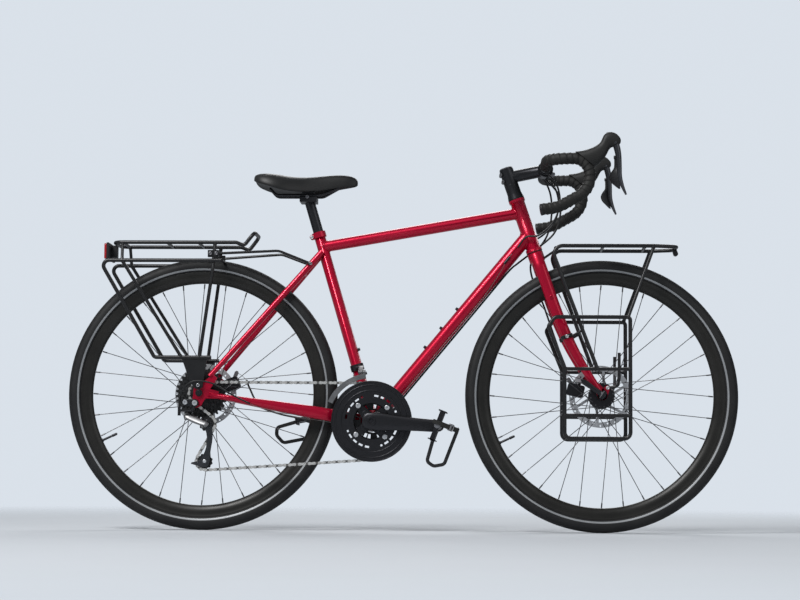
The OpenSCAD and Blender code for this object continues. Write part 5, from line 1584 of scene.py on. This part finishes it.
@dataclass(frozen=True)
class Cockpit:
    """Stem, handlebar with wound tape, hoods, brake levers and shift paddles."""

    layout: Layout
    tape_from: float = 60.0
    tape_r: float = 13.5
    tape_lap: float = 2.1
    tape_pitch: float = 14.0
    bends: tuple[float, ...] = (45.0, 40.0, 56.0, 90.0)
    leaf_half: float = 1.9
    stem_rise: float = math.radians(11.5)
    stem_len: float = 96.0

    def build(self) -> None:
        """Builds tape, hoods, levers and bolts and dresses stem and bar."""
        dress_node("stem", BLACK_ALLOY, 0.9)
        dress_node("handlebar", BLACK_ALLOY)
        self.stem_bolts()
        self.tape()
        self.hoods()
        for side in ("left", "right"):
            self.brake_lever(side)
            self.shift_paddle(side)

    def bar_line(self) -> Points:
        """Middle line of the left half of the bar, from where the tape starts."""
        spots = near(self.layout.bar, (0, self.tape_from, 0), (0, 190, 0), (105, 190, 2), (105, 192, -78),
                     (26, 195, -122), (-15, 196, -128))
        return bent_path(spots, self.bends, 14)

    def tape(self) -> None:
        """Tape wound along the bar with a step at each turn, and its plugs."""
        step, sides = 1.5, 28
        path = even_path(self.bar_line(), step)
        rings = []
        for i, (p, (side, up)) in enumerate(zip(path, frames_along(path, False, None))):
            ring = []
            for k, g in enumerate(circle_angles(sides)):
                lap = (i * step / self.tape_pitch + k / sides) % 1.0
                r = self.tape_r + self.tape_lap * min(lap, (1 - lap) * 9)
                ring.append(p + r * (side * math.cos(g) + up * math.sin(g)))
            rings.append(ring)
        shape = Shape()
        shape.skin(rings)
        band = [path[0] + at(0, y, 0) for y in (-9, -8.6, 8, 8.4)]
        shape.tube(band, [14.2, 15.1, 15.4, 14.4], sides, finish=1)
        ahead = (path[-1] - path[-6]).normalized()
        plug = [(-2, 14.6), (1.4, 15.2), (3, 14.4), (4.4, 10), (4.9, 1)]
        shape.turned_rod(path[-1], ahead, plug, sides, 1)
        shape.paired().piece("wound_bar_tape", [TAPE_CORK, BLACK_PLASTIC], "steering", ["bar_tape"],
                             sharp=50)

    def hoods(self) -> None:
        """Rubber hoods lofted over their top, bottom and width, with a horn and a front cover."""
        stations = (((-36, 18.4), (12, -21), 16.4), ((-18, 20.5), (19, -16), 17.8),
                    ((2, 26.5), (29, -6), 17.6), ((16, 33.5), (36, 2), 16.2), ((26, 42), (42, 12), 15.2),
                    ((31, 52), (47, 22), 14.6), ((35, 60), (54, 29), 14.0), ((42, 65.5), (66, 31), 13.6),
                    ((52, 67.5), (75, 38), 12.6), ((62, 65), (77, 46.5), 10.6),
                    ((68.5, 60), (75, 52.5), 6.0))
        tops = smooth_path([at(x, 0, z) for (x, z), _, _ in stations], 3)
        lows = smooth_path([at(x, 0, z) for _, (x, z), _ in stations], 3)
        wide = smooth_path([at(w, 0, 0) for _, _, w in stations], 3)
        hood = self.layout.hood
        shape = Shape()
        shape.skin([oval(hood + (top + low) / 2, (top - low) / 2, at(0, w.x, 0), 28, (0.8, 0.86))
                    for top, low, w in zip(tops, lows, wide)])
        shape.paired().piece("lever_hoods", HOOD_RUBBER, "steering", ["brake_hoods"], sharp=60)
        slots = Shape()
        tip = hood + at(48, 0, 66.4)
        slots.block(tip - at(6.5, 2, 1.5), tip + at(6.5, 2, 0.9))
        slots.paired().piece("hood_slots", BRIGHT_STEEL, "steering", round_off=0.3)

    def on_lever(self, shape: Shape, side: str) -> Shape:
        """Moves a shape to the pivot of the lever on one side."""
        placed = shape.move(lambda p: self.layout.lever_pivot + p)
        return placed if side == "left" else placed.mirrored()

    def brake_lever(self, side: str) -> None:
        """Brake blade with a flowing side view and its pivot.

        Args:
            side: Side of the bicycle.
        """
        line = ((-2, 8), (4, -8), (8.5, -30), (10.5, -58), (12, -84), (18, -107), (27.5, -129.5))
        deep = (7.0, 8.4, 7.6, 6.6, 5.8, 4.6, 2.4)
        wide = (9.4, 9.4, 8.6, 7.8, 7.2, 6.2, 4.2)
        body = f"{side}_brake_lever"
        shape = Shape()
        shape.limb([at(x, 0, z) for x, z in line], list(zip(wide, deep)), 5, 20)
        shape.turned_rod(at(0, -12.5, 0), ACROSS, [(0, 3.4), (1, 4.2), (24, 4.2), (25, 3.4)], 18)
        self.on_lever(shape, side).piece(f"{side}_brake_blade", LEVER_GREY, body, [body], sharp=55)

    def shift_paddle(self, side: str) -> None:
        """Leaf-shaped paddle on an arm behind the brake blade.

        Args:
            side: Side of the bicycle.
        """
        leaf = ((1.5, 0, -34, 3.4, 2.4), (2, -2, -48, 3.4, 2.6), (2, -4, -62, 4.4, 3.6),
                (-1.5, -5, -73, 8, 6.4), (-2.5, -6, -85, 11.5, 8.4), (1, -6, -97, 10.2, 7.4),
                (7, -5.5, -107, 6, 5), (11.5, -4.5, -114.5, 1.6, 1.8))
        spots = smooth_path([at(x, y, z) for x, y, z, _, _ in leaf], 4)
        spans = smooth_path([at(a, b, 0) for *_, a, b in leaf], 4)
        body = f"{side}_shift_paddle"
        shape = Shape()
        shape.skin([oval(p, span, at(span.y, -span.x, 0).normalized() * self.leaf_half, 16)
                    for p, span in zip(spots, spans)])
        shape.turned_rod(at(-3, 0, -36), FORWARD, [(0, 3.6), (0.8, 4.4), (6.4, 4.4), (7, 3.6)], 16)
        self.on_lever(shape, side).piece(f"{side}_shift_leaf", BLACK_PLASTIC, body, [body], sharp=55)

    def stem_bolts(self) -> None:
        """Socket bolts of the stem clamp, the face plate and the top cap."""
        lay = self.layout
        along = at(math.cos(self.stem_rise), 0, math.sin(self.stem_rise))
        foot = lay.bar - along * self.stem_len
        shape = Shape()
        head = [(0, 4.0), (3.4, 4.0), (4, 3.4), (4, 2.1), (1.5, 1.9)]
        post = [(-10, 5), (3, 5), (3, 4.2), (6.4, 4.0), (7, 3.2), (7, 2), (4.5, 1.8)]
        for way in (1, -1):
            clamp = foot - along * 18.3 + lay.head_dir * 9 * way
            for out in (-ACROSS, ACROSS):
                shape.turned_rod(clamp + out * 12, out, head, 16)
                face = lay.bar + along * 13 + out * 14 + lay.head_dir * 15.5 * way
                shape.turned_rod(face, along, post, 16)
        cap = foot + lay.head_dir * 24
        shape.turned_rod(cap, lay.head_dir, [(-1, 17), (1.2, 17), (2.4, 15.5), (2.4, 4), (1, 3.2)], 28)
        shape.turned_rod(cap + lay.head_dir, lay.head_dir, [(0, 3.1), (2.4, 3.1), (2.8, 2), (1.4, 1.8)], 12)
        shape.piece("stem_bolts", DARK_STEEL, "steering")


@dataclass(frozen=True)
class SaddleSet:
    """Padded saddle with seams, its rails and the seat post."""

    layout: Layout
    length: float = 268.0
    rear: float = -141.0
    post_out: float = 600.0
    section: tuple[Pair, ...] = (
        (0.0, 0.93), (0.11, 0.945), (0.22, 0.985), (0.36, 1.0), (0.52, 0.98), (0.68, 0.91), (0.82, 0.77),
        (0.92, 0.56), (0.98, 0.3), (1.0, 0.1), (0.985, 0.0), (0.93, -0.01), (0.84, 0.1), (0.5, 0.36),
        (0.0, 0.42))
    stations: tuple[tuple[float, float, float, float], ...] = (
        (0.0, 909, 36, 899), (0.02, 914, 52, 893), (0.06, 917, 66, 888), (0.14, 918, 75, 881),
        (0.24, 915, 76, 872), (0.34, 910.5, 68, 867), (0.44, 908.5, 54, 867), (0.54, 909.5, 41, 869),
        (0.66, 913, 31, 873), (0.78, 916.5, 24.5, 880), (0.88, 916.5, 21, 884.5), (0.95, 913, 17, 887),
        (0.985, 907.5, 12.5, 889), (1.0, 902, 8, 892))

    @property
    def clamp(self) -> Vector:
        """Middle of the rail clamp on the post."""
        return self.layout.bracket + self.layout.seat_dir * self.post_out

    def build(self) -> None:
        """Builds the saddle, its seams and its bolts and dresses post and rails."""
        self.saddle()
        self.seams()
        self.clamp_bolts()
        dress_node("seatpost", BLACK_ALLOY, 1.2)
        dress_node("saddle_rails", BLACK_ALLOY, sharp=50.0)

    def x_at(self, t: float) -> float:
        """Place along the bicycle of a share of the saddle's length."""
        return self.clamp.x + self.rear + self.length * t

    def ring(self, t: float, top: float, half: float, low: float) -> Points:
        """One section of the saddle, at a share of its length and between two heights."""
        side = [at(self.x_at(t), half * u, low + (top - low) * v) for u, v in self.section]
        return side + other_side(reversed(side[1:-1]))

    def saddle(self) -> None:
        """Cover with a shallow groove, drawn down into a skirt."""
        shape = Shape()
        shape.skin([self.ring(*s) for s in self.stations])
        cover = shape.piece("saddle_cover_padded", SADDLE_SKIN, "saddle_group", ["saddle"], divide=2,
                            sharp=80.0)

    def seams(self) -> None:
        """Rows of stitches along both shoulders of the cover."""
        places, turns = [], []
        for way in (1, -1):
            line = [at(self.x_at(t), way * half * 0.79, low + (top - low) * 0.795)
                    for t, top, half, low in self.stations[1:-1]]
            row = even_path(smooth_path(line, 6), 4.2)
            for a, b in zip(row, row[1:]):
                gap = b - a
                places.append((a + b) / 2)
                turns.append(at(0, -math.asin(gap.z / gap.length), math.atan2(gap.y, gap.x)))
        stitch = Shape()
        stitch.turned_rod(at(-1.4, 0, 0), FORWARD, [(0, 0.25), (0.5, 0.6), (2.3, 0.6), (2.8, 0.25)], 6)
        Repeat.on_points("saddle_stitches", stitch, places, turns, TAPE_CORK, "saddle_group")

    def clamp_bolts(self) -> None:
        """Bolt through the clamp below the rails."""
        shape = Shape()
        for way in (1, -1):
            base = self.clamp + at(-2, way * 28, 3)
            shape.turned_rod(base, at(0, way, 0), [(0, 5), (3.2, 5), (4, 4.2), (4, 2.6), (1.6, 2.4)], 18)
        shape.piece("saddle_clamp_bolts", DARK_STEEL, "saddle_group")


# Racks


@dataclass(frozen=True)
class Racks:
    """Welded tube racks over both wheels with their stays, clamps and reflector."""

    layout: Layout
    rod: float = 5.0
    flare: float = 0.28

    def build(self) -> None:
        """Builds both racks with their reflector and bolts."""
        self.rear()
        self.front()
        self.reflector()
        self.hardware()

    @property
    def stay_ends(self) -> tuple[Vector, Vector]:
        """Points of the left stay's clamp on the rear rack and of its bolt on the seat stay.

        Returns:
            The two points.
        """
        lay, a = self.layout, self.layout.rear_axle
        foot, top = a + at(26, 70.5, 42), lay.seat_top - lay.seat_dir * 52 + at(-4, 13, 0)
        return a + at(30, 65, 357), foot.lerp(top, 0.9)

    def brazed(self, shape: Shape, path: Points, radius: float) -> None:
        """Adds a rod that thickens a little into the weld at each end.

        Args:
            shape: Shape that it is added to.
            path: The points of the rod.
            radius: Its radius.
        """
        step, weld = 3.0, 9.0
        fine = even_path(path, step)
        last = len(fine) - 1
        swell = [self.flare * max(0.0, 1 - step * min(i, last - i) / weld) for i in range(last + 1)]
        shape.tube(fine, [radius * (1 + s) for s in swell], 14)

    def rear(self) -> None:
        """Top loop, lower rails, struts, foot plates and stays of the rear rack."""
        a = self.layout.rear_axle
        shape, half = Shape(), Shape()
        loop = near(a, (-228, 57, 387), (88, 57, 387), (108, 57, 379), (134, 57, 413))
        bends = [24, 14, 10, 18]
        line = bent_loop(loop + other_side(reversed(loop)), bends + bends[::-1])
        shape.tube(line, self.rod, 16, True, UPWARD)
        side = near(a, (52, 71, 339), (-262, 71, 339), (-115, 78.5, 90), (30, 78.5, 90))
        half.tube(bent_path(side, [14, 10]), self.rod, 16)
        self.brazed(half, near(a, (-206, 57, 387), (-204, 71, 339)), self.rod - 1)
        self.brazed(half, near(a, (-204, 71, 339), (-46, 78.5, 90)), self.rod - 0.5)
        strut = near(a, (33, 57, 387), (29, 71, 313), (0, 78.5, 90))
        self.brazed(half, bent_path(strut, [60]), self.rod - 0.5)
        foot = [(-46, 90), (20, 90), (9, 14), (4, 10.2), (-2, 9.2), (-8, 10.2), (-13, 14), (-24, 30)]
        half.plate(foot, 76.5, 80.5, a)
        start, end = self.stay_ends
        half.tube(bent_path([start, a + at(196, 45, 367), end + at(0, 12, 0)], [40]), 3.5, 14)
        shape.join(half.paired())
        for x, y, z in ((-206, 57, 387), (-92, 57, 387), (-11, 57, 387), (52, 71, 339)):
            self.brazed(shape, near(a, (x, -y, z), (x, y, z)), self.rod - 1)
        shape.piece("rear_rack_tubes", RACK_PAINT, "frame", ["rear_rack"], round_off=0.3, sharp=45)

    def front(self) -> None:
        """Platform, pannier frames and mount rods of the front rack."""
        a = self.layout.front_axle
        shape, half = Shape(), Shape()
        rail = near(a, (-14, 88, 63), (-132, 61, 380), (132, 61, 380), (190, 41, 380))
        bends = [22, 30, 18]
        line = bent_path(rail + other_side(reversed(rail)), bends + bends[::-1])
        shape.tube(line, self.rod, 16)
        loop = near(a, (-97, 88, 69), (-97, 88, -110), (68, 88, -110), (68, 88, 196), (-122, 88, 196),
                    (-138, 88, 172))
        half.tube(bent_loop(loop, [40, 16, 16, 8, 14, 10]), self.rod, 16, True, ACROSS)
        for z in (65, -52):
            self.brazed(half, near(a, (-97, 88, z), (68, 88, z)), self.rod - 0.5)
        self.brazed(half, near(a, (131, 61, 380), (62, 88, 194)), self.rod - 0.5)
        mount = near(a, (12, 69, 18), (38, 73, 22), (40, 88, 44), (40, 88, 106))
        half.tube(bent_path(mount, [12, 10]), self.rod - 1, 14)
        shape.join(half.paired())
        for x, z in ((3, 380), (110, 380), (-118, 374)):
            self.brazed(shape, near(a, (x, -61, z), (x, 61, z)), self.rod - 1)
        shape.plate(round_bar((-150, 352), (-118, 374), 2.5, 2.5), -9, 9, a)
        shape.plate(round_bar((187, 378), (191, 366), 5, 6), -7, 7, a)
        shape.turned_rod(a + at(191, -9, 366), ACROSS, [(0, 3), (18, 3)], 14)
        shape.piece("front_rack_tubes", RACK_PAINT, "steering", ["front_rack"], round_off=0.3, sharp=45)

    def reflector(self) -> None:
        """Red reflector in its black tray at the back of the rear rack."""
        a = self.layout.rear_axle
        tray, lens = Shape(), Shape()
        tray.block(a + at(-250, -46, 344), a + at(-243, 46, 388))
        tray.block(a + at(-244, -10, 352), a + at(-228, 10, 384))
        tray.piece("reflector_tray", BLACK_PLASTIC, "frame", round_off=1.5)
        lens.block(a + at(-256, -44, 346), a + at(-249, 44, 386))
        lens.piece("reflector_lens", REFLECTOR_RED, "frame", round_off=2.0)

    def hardware(self) -> None:
        """Bolts of the feet, clamps of the stays and bands on the fork blades."""
        lay = self.layout
        head = [(0, 4.6), (3.2, 4.6), (4, 3.8), (4, 2.4), (1.6, 2.2)]
        start, end = self.stay_ends
        ear = lay.seat_top - lay.seat_dir * 7 - lay.seat_fwd * 19.3
        blade = lay.fork_line(170, 48)
        bolts, clamps, feet, front, bands = (Shape() for _ in range(5))
        for shape, spot in ((feet, lay.rear_axle + at(-2, 81.5, 19)), (bolts, end + at(0, 15.4, 0)),
                            (bolts, start + at(8, 5, 0)), (bolts, start + at(-7, 5, 0)),
                            (feet, ear + at(0, 11, 0)), (front, lay.front_axle + at(12, 72, 18)),
                            (front, blade + at(0, 10.4, 0))):
            shape.turned_rod(spot, ACROSS, head, 16)
        clamps.block(start + at(-14, -5, -9), start + at(14, 5, 9))
        rings = []
        for up, grow in ((165, 0.6), (165.5, 1.4), (174.5, 1.4), (175, 0.6)):
            middle = lay.fork_line(up, 49.4 - (up - 146) * 0.057)
            rings.append(oval(middle, lay.head_fwd * (14.6 + grow), at(0, 9.8 + grow, 0), 28))
        bands.skin(rings)
        bands.tube([*near(blade, (8, 8, 0), (14, 18, 1)), lay.front_axle + at(-51, 72, 164)], 3.2, 12)
        for shape, name, finish, body in ((bolts, "rear_rack_bolts", DARK_STEEL, "frame"),
                                          (feet, "bright_frame_bolts", BRIGHT_STEEL, "frame"),
                                          (clamps, "rear_rack_clamps", RACK_PAINT, "frame"),
                                          (front, "front_rack_bolts", BRIGHT_STEEL, "steering"),
                                          (bands, "fork_blade_bands", RACK_PAINT, "steering")):
            shape.paired().piece(name, finish, body, round_off=0.5)


# Brakes, derailleurs and cables


@dataclass(frozen=True)
class Brakes:
    """Disc calipers with their arms."""

    def build(self) -> None:
        """Dresses the calipers."""
        for end in ("front", "rear"):
            dress_node(f"{end}_caliper", BLACK_ALLOY, 1.0)
            dress_node(f"{end}_caliper_arm", DARK_STEEL, 0.6)


@dataclass(frozen=True)
class Derailleurs:
    """Front and rear derailleur."""

    layout: Layout
    line_y: float = CHAIN_LINE
    cage_gap: float = 5.2
    cage_t: float = 1.2
    cage_len: float = 96.0

    def build(self) -> None:
        """Builds link, cage plates and hanger plate and dresses the rest."""
        for node, finish, round_off in (("front_derailleur_clamp", BLACK_ALLOY, 0.6),
                                        ("front_derailleur_link", SATIN_ALLOY, 0.6),
                                        ("front_derailleur_cage", SATIN_ALLOY, 0.2),
                                        ("derailleur_knuckle", BLACK_ALLOY, 0.7)):
            dress_node(node, finish, round_off)
        self.link()
        dress_node("cage_knuckle", BLACK_ALLOY, 0.7)
        self.cage()
        self.hanger()
        dress_node("guide_pulley", BLACK_PLASTIC, 0.15)
        dress_node("tension_pulley", BLACK_PLASTIC, 0.15)

    def link(self) -> None:
        """Broad tapered link between the two slanted pins of the rear derailleur."""
        pin = self.layout.rear_axle + at(-27, -68, -57)
        slant = at(0.477, 0.5, 0.723).normalized()
        along = at(45, -14, -20).normalized()
        thick = along.cross(slant)
        spans = ((-8.5, 2.5, -10, 3), (-6.5, 4.6, -12, 4.6), (0, 5.2, -13.5, 5), (9, 4.2, -13.5, 5),
                 (26, 3.8, -12.5, 5), (42, 4.2, -12, 5), (51.2, 5.2, -11, 5), (57.5, 4.4, -10, 4.6),
                 (60, 2.5, -8, 3))
        rings = []
        for s, half, low, high in spans:
            middle = pin + along * s + slant * (low + high) / 2
            rings.append(oval(middle, thick * half, slant * (high - low) / 2, 24, (0.75, 0.75)))
        shape = Shape()
        shape.skin(rings)
        for s in (0, 51.2):
            shape.turned_rod(pin + along * s - slant * 13, -slant, [(0, 3.6), (2, 3.6), (2.6, 2.8)], 16)
        shape.piece("derailleur_link_body", SATIN_ALLOY, "derailleur_link", ["derailleur_link"], sharp=40)

    def hanger(self) -> None:
        """Plate on the hanger with the two bolts that carry the derailleur."""
        spot = self.layout.rear_axle + at(-9, 0, -26)
        back = at(-24.5, 0, 1.5)
        plate, bolts = Shape(), Shape()
        plate.plate(round_bar((back.x, back.z), (0, 0), 8.2, 9.8), -87, -79, spot)
        plate.piece("derailleur_hanger_plate", BLACK_ALLOY, "frame", round_off=1.2)
        for place, size in ((spot, 6.8), (spot + back, 6.0)):
            head = [(0, size), (3.4, size), (4.4, size - 1), (4.4, size / 2), (2, size / 2 - 0.2)]
            bolts.turned_rod(place + at(0, -86, 0), -ACROSS, head, 20)
        bolts.piece("derailleur_hanger_bolts", BRIGHT_STEEL, "frame")

    def cage(self) -> None:
        """Waisted cage plates on both sides of the pulleys, with their bolts."""
        top, foot = self.layout.guide, self.layout.tension
        along = foot - top
        scale = along.length / self.cage_len
        along.normalize()
        side = at(along.z, 0, -along.x)
        spans = ((-12, 4, 4), (-10, 8, 8), (-4, 11.5, 11.5), (4, 11.5, 11.5), (14, 8.5, 9.5), (24, 7, 8),
                 (36, 6, 7), (48, 5.6, 6.4), (60, 5.6, 6), (72, 6.4, 6.8), (84, 9, 10.5), (93, 11.5, 12.5),
                 (97, 20, 12.5), (100, 33, 12), (104, 35, 11), (107, 22, 9), (111, 7, 5))
        left, right = [], []
        for s, behind, ahead in spans:
            share = min(max(s / self.cage_len, 0), 1)
            mid = along * s * scale - side * 9 * math.sin(math.pi * share ** 0.8)
            left.append(mid + side * behind)
            right.append(mid - side * ahead)
        outline = [(p.x, p.z) for p in left + right[::-1]]
        inner, outer, bolts = Shape(), Shape(), Shape()
        near_y, far_y = self.line_y - self.cage_gap, self.line_y + self.cage_gap
        inner.plate(outline, far_y, far_y + self.cage_t, top)
        outer.plate(outline, near_y - self.cage_t, near_y, top)
        inner.piece("derailleur_inner_plate", BLACK_ALLOY, "derailleur_cage", ["derailleur_cage"],
                    round_off=0.3)
        outer.piece("derailleur_outer_plate", LEVER_GREY, "derailleur_cage", round_off=0.3)
        wide = 2 * (self.cage_gap + self.cage_t)
        bolt = [(0, 3.4), (wide + 1.5, 3.4), (wide + 3.4, 4.4), (wide + 4, 3.4)]
        for spot in (top, foot):
            bolts.turned_rod(spot + at(0, far_y + self.cage_t + 1.5, 0), -ACROSS, bolt, 16)
        bolts.turned_rod(top + at(0, near_y - self.cage_t, 0), -ACROSS, [(0, 7), (12, 7), (13, 5)], 20)
        bolts.piece("derailleur_bolts", BRIGHT_STEEL, "derailleur_cage")


@dataclass(frozen=True)
class Cables:
    """Housings and wires of brakes and gears."""

    layout: Layout
    housing_r: float = 2.5
    wire_r: float = 0.65
    adjuster_s: float = 560.0
    adjuster_y: float = 20.95

    def build(self) -> None:
        """Lays all the cables."""
        self.gear_wires()
        self.bar_housings()
        self.front_brake()
        self.brake_wires()

    def down(self, s: float, side: float, under: float) -> Vector:
        """Point along the down tube, off its axis to the side and below."""
        along = (self.layout.down_head - self.layout.bracket).normalized()
        return self.layout.bracket + along * s - at(-along.z, 0, along.x) * under + at(0, side, 0)

    def stay(self, t: float, out: float, up: float) -> Vector:
        """Point along the left chain stay."""
        start, end = self.layout.bracket + at(-8, 22, 0), self.layout.rear_axle + at(24, 70.5, -4)
        return start.lerp(end, t) + at(0, out, up)

    def gear_wires(self) -> None:
        """Bare gear wires below the down tube, and the housing to the rear derailleur."""
        lay, foot = self.layout, self.layout.bracket
        start = [self.down(s, self.adjuster_y, 0) for s in (self.adjuster_s - 0.5, 545)]
        start += [self.down(s, 14.2, 13.4) for s in (440, 300, 110)]
        gear = [*start, self.down(66, 14.4, 13.8), *near(foot, (27, 16, -6), (-2, 13, -24)),
                self.stay(0.2, 0, -18.6), self.stay(0.45, 0, -18.6), self.stay(0.62, 0, -16),
                self.stay(0.74, 12, -6)]
        loop = near(lay.rear_axle, (80, 84, -2), (34, 92, 24), (-14, 94, 28), (-42, 88, 4), (-49, 80.5, -20),
                    (-49, 80, -35.4))
        mech = [*start, self.down(66, 14, 13.8),
                *near(foot, (27, 10, -6), (3, 3, -24), (-22, -2, -20), (-32, -4, 12)),
                foot + lay.seat_dir * 60 - lay.seat_fwd * 18 + at(0, -5, 0),
                foot + lay.seat_dir * 130 - lay.seat_fwd * 15 + at(0, -9.5, 0)]
        wires = Shape()
        for line in (other_side(gear), mech):
            wires.tube(smooth_path(line, 8), self.wire_r, 10)
        wires.tube(smooth_path(other_side(gear[-1:] + loop), 8), self.housing_r - 0.3, 12, finish=1)
        wires.piece("gear_wires", [LINK_STEEL, BLACK_PLASTIC], "frame", ["frame_cables"], sharp=60)

    def bar_housings(self) -> None:
        """Housings of both gears and of the rear brake, from the bar to the frame."""
        bar, foot, hub = self.layout.bar, self.layout.bracket, self.layout.rear_axle
        shift = near(bar, (-2, 59, -15.5), (12, 46, -22), (30, 40, -48), (36, 39, -90), (22, 38, -135),
                     (-16, 34, -172))
        shift += [self.down(self.adjuster_s + 56, self.adjuster_y + 5, 0),
                  self.down(self.adjuster_s + 22.5, self.adjuster_y, 0)]
        brake = near(bar, (-4, 44, -15.5), (10, 34, -26), (36, 27, -62), (40, 27, -110), (24, 29, -160),
                     (-20, 30, -200), (-68, 21, -238))
        brake += [self.down(s, 0, 20.35) for s in (520, 420, 250, 90)]
        brake += [self.down(32, 3, 22), foot + at(16, 7, -30), self.stay(0.2, 0, -22),
                  self.stay(0.45, 0, -20), self.stay(0.6, 6, -16.5), self.stay(0.72, 13.5, -4)]
        brake += near(hub, (112, 74, 18), (104, 70, 40))
        shape = Shape()
        for line in (shift, other_side(shift), brake):
            shape.tube(smooth_path(line, 10), self.housing_r, 12)
        self.bridge(shape, "bar_housings", BLACK_PLASTIC, ("steering", "frame"),
                    bar + at(0, 0, -60), bar + at(-60, 0, -225))

    def front_brake(self) -> None:
        """Housing from the bar down the left blade to the front caliper."""
        lay = self.layout
        line = near(lay.bar, (-6, 50, -15.5), (4, 50, -26), (16, 50, -60), (18, 50, -110), (6, 49, -165))
        line += [lay.steer_foot + lay.head_dir * s + at(0, y, 0) - lay.head_fwd * 20
                 for s, y in ((376, 44), (266, 46), (194, 51))]
        line += near(lay.front_axle, (-100, 54.9, 104), (-85, 54.9, 60))
        shape = Shape()
        shape.tube(smooth_path(line, 10), self.housing_r, 12)
        shape.piece("front_brake_housing", BLACK_PLASTIC, "steering", ["front_brake_cable"], sharp=60)

    def brake_wires(self) -> None:
        """Bare wires from the brake housings to the caliper arms."""
        front = near(self.layout.front_axle, (-85, 54.9, 61), (-83, 54.9, 53), (-81, 54.9, 45.4))
        rear = near(self.layout.rear_axle, (104, 70, 39), (91, 68.2, 52), (77.6, 67.4, 59))
        for end, body, line in (("front", "steering", front), ("rear", "frame", rear)):
            shape = Shape()
            shape.tube(smooth_path(line, 4), self.wire_r, 8)
            self.bridge(shape, f"{end}_brake_wire", LINK_STEEL, (body, f"{end}_caliper_arm"), line[0],
                        line[-1])

    @staticmethod
    def bridge(shape: Shape, name: str, finish: Finish, bodies: tuple[str, str], start: Vector,
               end: Vector) -> None:
        """Puts a piece into the scene in its world place; it follows neither of the two bodies.

        Args:
            shape: Its shape.
            name: Its name.
            finish: Its finish.
            bodies: The two bodies.
            start: Not used.
            end: Not used.
        """
        mesh = shape.mesh(name, 60.0)
        mesh.materials.append(finish.material())
        piece = add_object(name, mesh)
        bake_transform(piece)
        LOG.info("%s between %s and %s, %d faces", name, *bodies, len(mesh.polygons))


def main() -> None:
    """Builds every sub-assembly in order and notes the size of the result."""
    logging.basicConfig(level=logging.INFO, format="%(message)s")
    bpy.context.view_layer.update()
    layout = Layout.read()
    Stage().build()
    Frame(layout).build()
    Wheel("front", layout.front_axle).build()
    Wheel("rear", layout.rear_axle).build()
    Drivetrain(layout).build()
    Pedal("right", layout.pedal_right, tilt=math.radians(111)).build()
    Pedal("left", layout.pedal_left, tilt=math.radians(169)).build()
    Cockpit(layout).build()
    SaddleSet(layout).build()
    Racks(layout).build()
    Brakes().build()
    Derailleurs(layout).build()
    Cables(layout).build()


if __name__ == "__main__":
    main()
